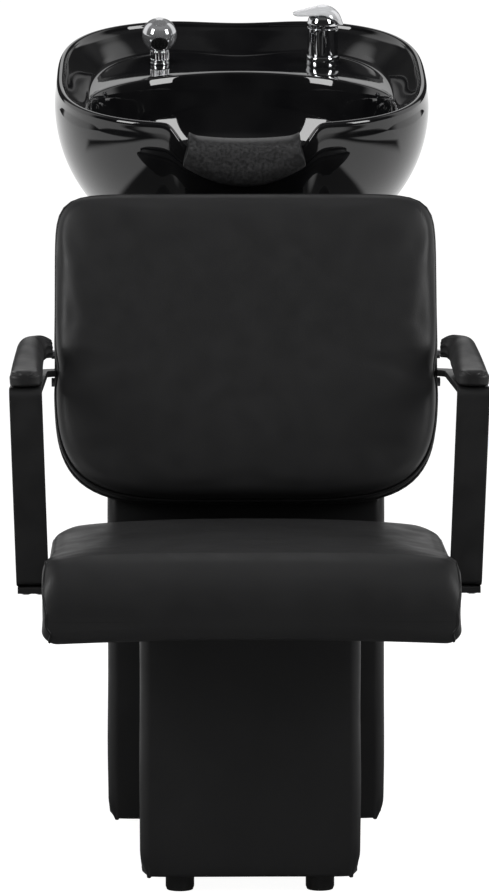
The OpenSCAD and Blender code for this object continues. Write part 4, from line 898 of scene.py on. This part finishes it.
def arm_pad(mirror, label):
    stations = [0, 0.7, 1.8, 3.5, 6, 9, 13, 18, 24, 31] + even(31, 205, 22) + even(205, PAD_END - 6, 14)
    stations += [PAD_END - 3.6, PAD_END - 1.6, PAD_END - 0.5, PAD_END]
    pad = loft(f"{label}_arm_wrap", [pad_ring(s) for s in stations], mirror @ RUN, "vinyl", "chair")
    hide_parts(f"{label}_arm_pad")
    subdivide(pad, 1)


for mirror, label in ((Matrix.Scale(-1, 4, (1, 0, 0)), "left"), (Matrix.Identity(4), "right")):
    arm_bar(mirror, label)
    arm_plate(mirror, label)
    arm_pad(mirror, label)


# Bowl; v runs back from the front of the rim and w up from the rim plane

BOWL_HALF, BOWL_MID, WASH_V, BASIN_REAR = 250, 270, 240, 419
RIM_T, DECK_W, CHINA_T, BASIN_H, BOWL_H, FLANGE_T, FLANGE_RUN = 10.7, -38, 12, 168, 220, 14, 32
FLOOR_UNDER = BASIN_H + CHINA_T + 2
SLEEVE_R = 22
# Depth and half width of the neck notch, the run of its sides, and the level where the body is fullest
NOTCH_H, NOTCH_HALF, NOTCH_SIDE, BODY_W = 37, 101, 36, -30


def oval(t, half, front, rear, front_n, rear_n):
    if math.sin(t) > 0:
        r = oval_radius(t, half, rear - BOWL_MID, rear_n)
    else:
        r = oval_radius(t, half, BOWL_MID - front, front_n)
    return (r * math.cos(t), BOWL_MID + r * math.sin(t))


def dented(p, depth, half):
    """Draws the middle of the rear in, behind the taps."""
    if p[1] > BOWL_MID and abs(p[0]) < half:
        return (p[0], p[1] - depth * math.cos(math.pi / 2 * p[0] / half) ** 2)
    return p


def outward(p, t, d):
    return (p[0] + d * math.cos(t), p[1] + d * math.sin(t))


def toward(a, b, t):
    return (mix(a[0], b[0], t), mix(a[1], b[1], t))


def notch_drop(x):
    return NOTCH_H * smooth((NOTCH_HALF - abs(x)) / NOTCH_SIDE)


def body_point(t, w):
    """Point of the outer body towards an angle at a level."""
    if w > BODY_W:
        k = 1 - 0.009 * ((w - BODY_W) / BODY_W) ** 2
    else:
        k = arc((BODY_W - w) / BOWL_H)
    n = mix(2.3, 3, clamp01((k - 0.5) * 2))
    p = dented(oval(t, BOWL_HALF, -12, BOWL_BACK, n, n + 0.15 * k), 14 * k, 120)
    return (p[0] * k, BOWL_MID + (p[1] - BOWL_MID) * k)


def basin_point(edge, k):
    return (edge[0] * k, WASH_V + (edge[1] - WASH_V) * k)


def notched(points, drop, foot):
    """Places and levels as points, lowered by the notch and less so towards the foot."""
    return [(*p, w * (1 - drop / foot) - drop) for p, w in points]


def bowl_section(t):
    """Closed section of the bowl from its middle outwards: rim, deck, basin, underside, skirt and body."""
    lip = dented(oval(t, BOWL_HALF - 13, 0, BOWL_BACK - RIM_T, 3, 3.15), 17, 115)
    crease = dented(oval(t, BOWL_HALF - 45, 28, BOWL_BACK - 34, 2.8, 2.95), 28, 98)
    edge = oval(t, BOWL_HALF - 49, 42, BASIN_REAR, 2.6, 1.85)
    front = smooth(clamp01(-math.sin(t) * 3 + 0.1))
    drop = notch_drop(lip[0]) if math.sin(t) < 0 else 0.0
    edge_w = DECK_W - 20 * front
    ceiling = edge_w - CHINA_T - 10 * front
    bevel = mix(1.0, 0.4, front)
    foot_w = -BOWL_H
    hole = outward((0, WASH_V), t, SLEEVE_R + 1)
    floor = basin_point(edge, 0.3)

    rim_inside = ((RIM_T / 2, 0), (3.4, -0.35), (1.5, -1.6), (0.4, -3.6), (0, -7))
    inner = [(outward(lip, t, d), w) for d, w in rim_inside]
    wall = ((0.3, -15), (0.62, -25), (0.85, DECK_W + 6), (0.96, DECK_W + 1.8))
    inner += [(toward(lip, crease, k), w) for k, w in wall]
    deck = ((0.03, DECK_W + 0.1), (0.35, mix(DECK_W, edge_w, 0.3)), (0.7, mix(DECK_W, edge_w, 0.75)))
    inner += [(toward(crease, edge, k), w) for k, w in deck]
    round_edge = ((6 * bevel, 0.2), (2.4 * bevel, -0.1), (0.6 * bevel, -1.0), (-0.2, -3.0))
    inner += [(outward(edge, t, d), edge_w + w) for d, w in round_edge]
    inner.append((basin_point(edge, 0.988), edge_w - 8))
    basin = (
        (0.974, 0.16), (0.952, 0.32), (0.925, 0.48), (0.88, 0.63), (0.81, 0.77), (0.71, 0.88), (0.58, 0.95),
        (0.44, 0.985)
    )
    inner += [(basin_point(edge, k), mix(edge_w, -BASIN_H, fall)) for k, fall in basin]
    inner += [(toward(hole, floor, k), -BASIN_H) for k in (0.75, 0.1)]
    inner += [(hole, -BASIN_H - 0.8), (hole, -BASIN_H - 4)]

    under = [(hole, -FLOOR_UNDER + 2), (hole, -FLOOR_UNDER), (basin_point(edge, 0.42), -FLOOR_UNDER)]
    for k, d, fall in ((0.6, 4, 0.95), (0.8, 8, 0.82), (0.91, 10, 0.6)):
        under.append((outward(basin_point(edge, k), t, d), mix(edge_w, -FLOOR_UNDER, fall)))
    shoulder_w = min(ceiling - 6, mix(edge_w, -FLOOR_UNDER, 0.3))
    under.append((outward(basin_point(edge, 0.97), t, CHINA_T), shoulder_w))
    under.append((outward(edge, t, CHINA_T), ceiling))

    skirt = (
        (ceiling, -RIM_T, ceiling), (-110, -RIM_T, -110), (-160, -RIM_T - 2, -160),
        (foot_w + FLANGE_T + 6, -RIM_T - 6, foot_w + FLANGE_T), (foot_w, -FLANGE_RUN, foot_w + FLANGE_T),
        (foot_w, -FLANGE_RUN, foot_w), (foot_w, -5, foot_w), (foot_w, -1.2, foot_w + 0.6)
    )
    outer = [(outward(body_point(t, level), t, d), w) for level, d, w in skirt]
    body_levels = (foot_w + 3, -208, -195, -180, -165, -148, -130, -110, -90, -72, -55, -40, -26)
    outer += [(body_point(t, w), w) for w in body_levels]
    rim_outside = ((0.1, -14), (0, -7), (-0.5, -3.6), (-1.6, -1.6), (-3.5, -0.35))
    outer += [(outward(lip, t, RIM_T + d), w) for d, w in rim_outside]
    return notched(inner, drop, BASIN_H) + notched(under, drop, FLOOR_UNDER) + notched(outer, drop, BOWL_H)


def bowl_angles(count):
    """Angles around the bowl, closer together beside the notch."""
    spread = [2 * i / count - 1 for i in range(count)]
    return [math.radians(-90 + 180 * s * (0.62 + 0.38 * abs(s))) for s in spread]


def neck_ring(s):
    """Section across the rubber saddle: over the notch behind, hanging down in front."""
    x = s * 79.8
    crown = -notch_drop(x)
    inside = -notch_drop(1.04 * x)
    top = -22 + 5 * s * s
    low = -78 + 26 * s * s
    front = 38 - 5 * s * s
    flare = 3.0 * bell(abs(s) - 1, 0.09)
    heel = min(inside - 2, top - 7)
    pts = [
        (20, inside - 9), (20.4, inside - 6), (19.6, mix(heel, inside - 6, 0.3)), (18.3, heel + 2),
        (15.5, top - 3.6 + flare), (10, top - 1 + flare), (3, top + flare), (-8, top + flare),
        (-15, top - 1.8 + flare), (-22, top - 6), (-28, mix(top, low, 0.22)), (-33, mix(top, low, 0.42)),
        (-front, mix(top, low, 0.62)), (-front, mix(top, low, 0.8)), (-front + 2, low + 4),
        (-front + 7, low + 0.6), (-front + 13, low), (-18, low + 4), (-13.2, mix(crown, low, 0.5)),
        (-12.4, crown - 7), (-9, crown + 0.3), (3, crown + 0.3), (8, inside - 2.5), (17, inside - 9)
    ]
    return [(x * (1 - 0.1 * smooth((w + 50) / 26) * smooth(abs(s))), v, w) for v, w in pts]


bowl = loft(
    "wash_bowl", [bowl_section(t) for t in bowl_angles(208)], BOWL, "glazed_ceramic", "bowl_assembly",
    closed=True
)
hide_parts("bowl")
subdivide(bowl, 1)

neck_stations = [1, 0.985, 0.96, 0.92, 0.86] + even(0.8, -0.8, 18, 0) + [-0.86, -0.92, -0.96, -0.985, -1]
neck = loft("neck_saddle", [neck_ring(s) for s in neck_stations], BOWL, "neck_rubber", "bowl_assembly")
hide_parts("neck_rest")
subdivide(neck, 2)


# Taps

MIXER_X, SPRAY_X, TAP_V, TAP_W = 115, -110, 472, DECK_W + SNUG
MIXER = BOWL @ Matrix.Translation((MIXER_X, TAP_V, TAP_W))
SPRAY = BOWL @ Matrix.Translation((SPRAY_X, TAP_V, TAP_W))
MIXER_H, MIXER_R, DOME_H, LEVER_T, SHANK_R, SHANK_H = 51.5, 21.3, 55.5, 4.8, 16.5, 57
# Radius of the leaf's middle round the dome, the angle where it leaves it, and its half widths
LEAF_R, LEAF_TURN, LEAF_ROOT, LEAF_HALF, LEAF_TIP = MIXER_R + 0.7 + LEVER_T / 2, 112, 12, 19, 9.5
HOLDER_H, COLLAR_H, COLLAR_R, SPIGOT_R, CUP_R = 5.4, 14, 13.5, 5.4, 6.0
HEAD_R, FACE_R, FACE_Z = 24.0, 10.9, 20.3
COLLAR_Z = HOLDER_H + 0.3

ring_profile = round_profile([
    (0, 0, 0), (24, 0, 0.8), (24, 8, 2.0), (22.9, 12, 0.8), (21.6, 13, 0.4), (0, 13.2, 0)
])
base_ring = lathe("mixer_foot", ring_profile, MIXER, "chrome", "bowl_assembly")
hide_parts("mixer_base_ring")
body_profile = round_profile([
    (0, -SHANK_H, 0), (SHANK_R, -SHANK_H, 0.5), (SHANK_R, 0, 0), (MIXER_R, 0.2, 0), (MIXER_R, 16, 0),
    (MIXER_R, 40, 0), (MIXER_R, MIXER_H - 0.4, 0.6), (20.2, MIXER_H, 0.3), (0, MIXER_H, 0)
])
column = lathe("mixer_column", body_profile, MIXER, "chrome", "bowl_assembly")
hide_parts("mixer_body", "mixer_cartridge")
cap_profile = round_profile([
    (0, MIXER_H + 0.5, 0), (20.3, MIXER_H + 0.5, 0.3), (MIXER_R, MIXER_H + 1.4, 0.5), (MIXER_R, DOME_H, 0)
])
cap_profile += [(MIXER_R * cosd(a), DOME_H + MIXER_R * sind(a)) for a in range(6, 91, 6)]
cap = lathe("mixer_dome", cap_profile, MIXER, "chrome", "mixer_turner", steps=128)
cut_away(cap, (-8, -4, DOME_H - 6), (30, 4, DOME_H + 40), MIXER)
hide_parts("mixer_cap")


def leaf_point(s):
    """Middle line of the leaf: round the dome up to 1, then out in a gentle curve up to 2."""
    angle = mix(-4, LEAF_TURN, min(s, 1))
    r = LEAF_R + 2.2 * smooth((12 - angle) / 16)
    out = max(0.0, s - 1)
    return Vector((r * cosd(angle), r * sind(angle))) + out * Vector((-32, -7.5 - 2 * out + 1.5 * out * out))


def leaf_ring(s):
    """Section across the leaf: a spoon shape that hugs the dome and flattens out towards the tip."""
    p = leaf_point(s)
    d = (leaf_point(s + 0.01) - leaf_point(s - 0.01)).normalized()
    n = Vector((d.y, -d.x))
    end = max(0.0, (s - 1.8) / 0.205, (0.12 - s) / 0.122)
    shape = math.sqrt(max(0.02, 1 - end * end))
    if s < 0.5:
        half = mix(LEAF_ROOT, LEAF_HALF, smooth(s / 0.5)) * shape
    else:
        half = mix(LEAF_HALF, LEAF_TIP, clamp01((s - 0.6) / 1.4) ** 1.6) * shape
    thick = LEVER_T / 2 * (0.4 + 0.6 * shape)
    hug = mix(1.0, 0.8, smooth((s - 1.3) / 0.7))
    ring = []
    for a in around(32):
        y = half * full(math.cos(a), 0.8)
        drop = (LEAF_R - math.sqrt(LEAF_R * LEAF_R - y * y)) * hug
        q = p - n * (thick * full(math.sin(a), 0.75) + drop)
        ring.append((q.x, y, DOME_H + q.y))
    return ring


def lug_rings():
    """The block under the leaf that sits in the slot of the dome, round below."""
    out = []
    for z in (DOME_H - 4.4, DOME_H - 3.2, DOME_H, DOME_H + 10, DOME_H + MIXER_R + 1.5):
        half = math.sqrt(max(1.0, 4.5 ** 2 - min(0.0, z - DOME_H) ** 2))
        out.append([(half * u, 3.5 * v, z) for u, v in ((1, 1), (-1, 1), (-1, -1), (1, -1))])
    return out


leaf_stations = [0.0, 0.02, 0.05, 0.09, 0.14] + even(0.14, 1.0, 18) + even(1.0, 1.8, 12)
leaf_stations += [1.86, 1.92, 1.96, 1.99, 2.0]
# The leaf uses chrome with a half share of painted reflection.
lever = loft("mixer_handle", [leaf_ring(s) for s in leaf_stations], MIXER, "half_painted_reflection_chrome", "lever")
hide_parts("mixer_lever")
subdivide(lever, 1)
loft("mixer_lug", lug_rings(), MIXER, "chrome", "lever", smooth_faces=False)


def ribs(count, depth, low, high):
    """Grooves around a collar between two heights, as a share of its radius."""
    def wave(a, h):
        inside = 1.0 if low < h < high else 0.0
        return 1 - depth * inside * (0.5 - 0.5 * math.cos(count * a)) ** 2
    return wave


holder_profile = [(CUP_R, -36), (8.0, -36), (8.0, -0.2)] + round_profile([
    (8.0, 0, 0), (14.2, 0, 0.5), (14.2, 2.4, 0.8), (12.9, 3.0, 0.4), (12.9, 5.0, 0.4), (12.4, HOLDER_H, 0.2),
    (CUP_R, HOLDER_H, 0)
]) + [(CUP_R, 3)]
holder = lathe("spray_cup", holder_profile, SPRAY, "chrome", "bowl_assembly", hollow=True)
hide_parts("spray_holder")
collar_profile = [(0, -8.2), (SPIGOT_R, -8.2), (SPIGOT_R, 5.6), (COLLAR_R - 1, COLLAR_Z)]
collar_profile += [(COLLAR_R, COLLAR_Z + h) for h in (0.8, 1.6, 2.4, 11.0, 11.8, 12.6)]
collar_profile += [(COLLAR_R - 1, COLLAR_Z + COLLAR_H), (0, COLLAR_Z + COLLAR_H)]
collar = lathe(
    "spray_grip", collar_profile, SPRAY, "chrome", "hand_spray", wave=ribs(18, 0.12, 7.2, 17.6), steps=180
)
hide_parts("spray_collar")

HEAD = SPRAY @ Matrix.Translation((0, 0, COLLAR_Z + COLLAR_H + 20.5))
FACE = HEAD @ Matrix.Rotation(math.radians(117), 4, "X")
rim_r = math.sqrt(HEAD_R ** 2 - FACE_Z ** 2)
ball = [(0.0, -HEAD_R)] + [(HEAD_R * cosd(a), HEAD_R * sind(a)) for a in range(-87, 55, 3)]
ball += [
    (rim_r + 0.3, FACE_Z - 0.4), (rim_r - 0.3, FACE_Z + 0.1), (rim_r - 1.0, FACE_Z + 0.05),
    (FACE_R + 0.3, FACE_Z - 0.7), (FACE_R + 0.1, FACE_Z - 1.6), (FACE_R + 0.1, FACE_Z - 5), (0, FACE_Z - 5)
]
# The spray ball uses chrome with a small share of painted reflection.
head = lathe("spray_ball", ball, FACE, "faint_painted_reflection_chrome", "hand_spray", steps=144)
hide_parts("spray_head")
disc_profile = round_profile([
    (0, FACE_Z - 5, 0), (FACE_R, FACE_Z - 5, 0.2), (FACE_R, FACE_Z - 0.6, 0.6),
    (FACE_R - 1.2, FACE_Z + 0.2, 0.8), (0, FACE_Z + 0.6, 0)
])
disc_obj = lathe("spray_disc", disc_profile, FACE, "jet_rubber", "hand_spray", steps=64)
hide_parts("spray_face")
jet_profile = round_profile([
    (0, FACE_Z - 0.3, 0), (0.8, FACE_Z - 0.3, 0.1), (0.65, FACE_Z + 1.5, 0.3), (0, FACE_Z + 1.5, 0)
], 3)
for ring_r, count in ((3.6, 6), (7.4, 12)):
    for i, a in enumerate(around(count)):
        place = FACE @ Matrix.Translation((ring_r * math.cos(a), ring_r * math.sin(a), 0.0))
        lathe(f"spray_jet_{count}_{i}", jet_profile, place, "jet_rubber", "hand_spray", steps=12)


# Materials and softened edges on the CAD nodes that stay

EDGE = {
    "cross_bar": 0.0009, "bowl_bracket": 0.0006, "bowl_cradle": 0.0006, "panel_ledge": 0.0006,
    "rear_box_rails": 0.0007, "rear_box_floor": 0.0007, "access_panel": 0.0030, "feet": 0.0012,
    "seat_board": 0.0020, "tilt_knob": 0.0015
}


def rounding_group():
    """Node group that shades round surfaces smoothly and keeps edges over 32 degrees crisp."""
    group = bpy.data.node_groups.new("round_shading", "GeometryNodeTree")
    for way in ("INPUT", "OUTPUT"):
        group.interface.new_socket("Geometry", in_out=way, socket_type="NodeSocketGeometry")
    inputs = {"Geometry": group.nodes.new("NodeGroupInput").outputs[0], "Distance": 0.000002}
    shape = add_node(group, "GeometryNodeMergeByDistance", inputs).outputs[0]
    shape = add_node(group, "GeometryNodeSetShadeSmooth", {"Geometry": shape}, domain="FACE").outputs[0]
    angle = add_node(group, "GeometryNodeInputMeshEdgeAngle", {}).outputs["Unsigned Angle"]
    sharp = calc(group, "GREATER_THAN", angle, math.radians(32))
    inputs = {"Geometry": shape, "Selection": sharp, "Shade Smooth": False}
    shape = add_node(group, "GeometryNodeSetShadeSmooth", inputs, domain="EDGE").outputs[0]
    add_node(group, "NodeGroupOutput", {0: shape})
    return group


def calc(tree, operation, *values):
    return add_node(tree, "ShaderNodeMath", dict(enumerate(values)), operation=operation).outputs[0]


ROUND = rounding_group()
slots = {part["node"]: part["material_slot"] for part in frame["record"]["subparts"]}
for name, obj in frame["nodes"].items():
    if obj.hide_render:
        continue
    modify(obj, "round_shading", "NODES", node_group=ROUND)
    obj.data.materials.clear()
    obj.data.materials.append(MATERIALS[slots[name]])
    if name in EDGE:
        modify(
            obj, "edge", "BEVEL", width=EDGE[name], segments=3, limit_method="ANGLE",
            angle_limit=math.radians(40), harden_normals=False
        )


# Floor, world, lights and camera

def step(tree, source, start, end, low=0.0, high=1.0):
    """Soft step of a number from one value to another."""
    return ranged(tree, source, low, high, start, end, "SMOOTHSTEP")


def shine(tree, kind, **inputs):
    return add_node(tree, "ShaderNode" + kind, inputs).outputs[0]


def place_parts(tree, space):
    """The three numbers of a place, and how far it is to either side."""
    parts = add_node(tree, "ShaderNodeSeparateXYZ", {0: place_of(tree, space)}).outputs
    return calc(tree, "ABSOLUTE", parts["X"]), parts["Y"], parts["Z"]


def rays_apart(tree, plain, mirrored, seen):
    """One shader for plain light on the object, one for its reflections and one for the camera."""
    rays = add_node(tree, "ShaderNodeLightPath", {}).outputs
    glossy = calc(tree, "MAXIMUM", rays["Is Glossy Ray"], rays["Is Transmission Ray"])
    unseen = add_node(tree, "ShaderNodeMixShader", {0: glossy, 1: plain, 2: mirrored}).outputs[0]
    return add_node(tree, "ShaderNodeMixShader", {0: rays["Is Camera Ray"], 1: unseen, 2: seen}).outputs[0]


def stage_floor():
    """White for the camera, with the shadow kept, and bright in reflections to the sides and behind."""
    mesh = bpy.data.meshes.new("studio_floor")
    mesh.from_pydata([(-60, -40, 0), (60, -40, 0), (60, 90, 0), (-60, 90, 0)], [], [(0, 1, 2, 3)])
    floor = add_object("studio_floor", mesh)
    mat = bpy.data.materials.new("studio_floor")
    mat.use_nodes = True
    tree = mat.node_tree
    tree.nodes.clear()
    aside, back, _ = place_parts(tree, "Object")
    near = step(tree, aside, 0.7, 0.86)
    far = step(tree, aside, 1.9, 3.1, 1.0, 0.12)
    distant = step(tree, aside, 3.0, 4.2, 0.0, 0.9)
    beside = step(tree, back, -4.2, -2.6)
    ahead = step(tree, back, -2.2, -0.9, 0.0, 0.14)
    behind = step(tree, back, 0.6, 1.5)
    wide = calc(tree, "MAXIMUM", calc(tree, "MULTIPLY", near, far), distant)
    share = calc(tree, "MAXIMUM", calc(tree, "MULTIPLY", wide, beside), behind)
    share = calc(tree, "MAXIMUM", share, ahead)
    plain = shine(tree, "BsdfDiffuse", Color=(0.8, 0.8, 0.8, 1))
    mirrored = shine(tree, "Emission", Strength=step(tree, share, 0.0, 1.0, 0.02, 0.85))
    white = shine(tree, "Emission", Strength=0.96)
    shaded = shine(tree, "BsdfDiffuse", Color=(0.3, 0.3, 0.3, 1))
    seen = add_node(tree, "ShaderNodeAddShader", {0: white, 1: shaded}).outputs[0]
    add_node(tree, "ShaderNodeOutputMaterial", {"Surface": rays_apart(tree, plain, mirrored, seen)})
    mesh.materials.append(mat)


def studio_world():
    """White for the camera; in reflections white behind with two dim panels, dim high up, dark ahead."""
    world = bpy.data.worlds.new("studio")
    bpy.context.scene.world = world
    world.use_nodes = True
    tree = world.node_tree
    tree.nodes.clear()
    aside, back, up = place_parts(tree, "Generated")
    rear = step(tree, back, -0.05, 0.3)
    inner = step(tree, aside, 0.12, 0.2, 0.0, 0.85)
    outer = step(tree, aside, 0.5, 0.62, 1.0, 0.0)
    panels = calc(tree, "MULTIPLY", inner, outer)
    open_part = step(tree, panels, 0.0, 1.0, 1.0, 0.0)
    high = step(tree, up, 0.38, 0.6, 0.0, 0.2)
    below_top = step(tree, up, 0.8, 0.92, 1.0, 0.0)
    lit_part = calc(tree, "MAXIMUM", calc(tree, "MULTIPLY", rear, open_part), high)
    share = calc(tree, "MULTIPLY", lit_part, below_top)
    plain = shine(tree, "Background", Strength=step(tree, up, -0.1, 1.0, 0.23, 0.5))
    mirrored = shine(tree, "Background", Strength=step(tree, share, 0.0, 1.0, 0.02, 0.9))
    seen = shine(tree, "Background", Color=(1, 1, 1, 1), Strength=1.0)
    add_node(tree, "ShaderNodeOutputWorld", {"Surface": rays_apart(tree, plain, mirrored, seen)})


def soft_box(name, place, target, size, power):
    data = bpy.data.lights.new(name, "AREA")
    settle(data, shape="RECTANGLE", size=size[0], size_y=size[1], energy=power)
    lamp = add_object(name, data)
    lamp.location = place
    lamp.rotation_euler = (Vector(target) - Vector(place)).to_track_quat("-Z", "Y").to_euler()
    return lamp


stage_floor()
studio_world()
for side, name in ((-1, "box_left"), (1, "box_right")):
    soft_box(name, (side * 2.6, -1.6, 2.2), (0, 0, 0.6), (1.0, 1.8), 39)
top_box = soft_box("box_top", (0.0, -0.4, 3.2), (0, 0.1, 0.5), (1.6, 0.8), 46)
top_box.visible_glossy = False

IMAGE_W, IMAGE_H = 489, 894
# Focal length, scale at the seat front and column of the unit's middle, in pixels
FOCAL_PX, PX_PER_M, MIDDLE_PX = 5125, 844, 252
SENSOR, CAMERA_AWAY, CAMERA_H = 36, 6.0, 1.321
YAW, PITCH = 0.85, 7.2

camera_data = bpy.data.cameras.new("camera")
settle(camera_data, sensor_width=SENSOR, lens=FOCAL_PX * SENSOR / IMAGE_H, clip_start=0.1, clip_end=60)
camera = add_object("camera", camera_data)
camera.rotation_euler = (math.radians(90) - math.radians(PITCH), 0, -math.radians(YAW))
direction = Vector((sind(YAW), cosd(YAW), 0))
right = Vector((cosd(YAW), -sind(YAW), 0))
seat_front = Vector((0, -HALF_D * MM, 0))
camera.location = seat_front - direction * CAMERA_AWAY - right * ((MIDDLE_PX - IMAGE_W / 2) / PX_PER_M)
camera.location.z = CAMERA_H
bpy.context.scene.camera = camera
bpy.context.scene.view_settings.view_transform = "Standard"
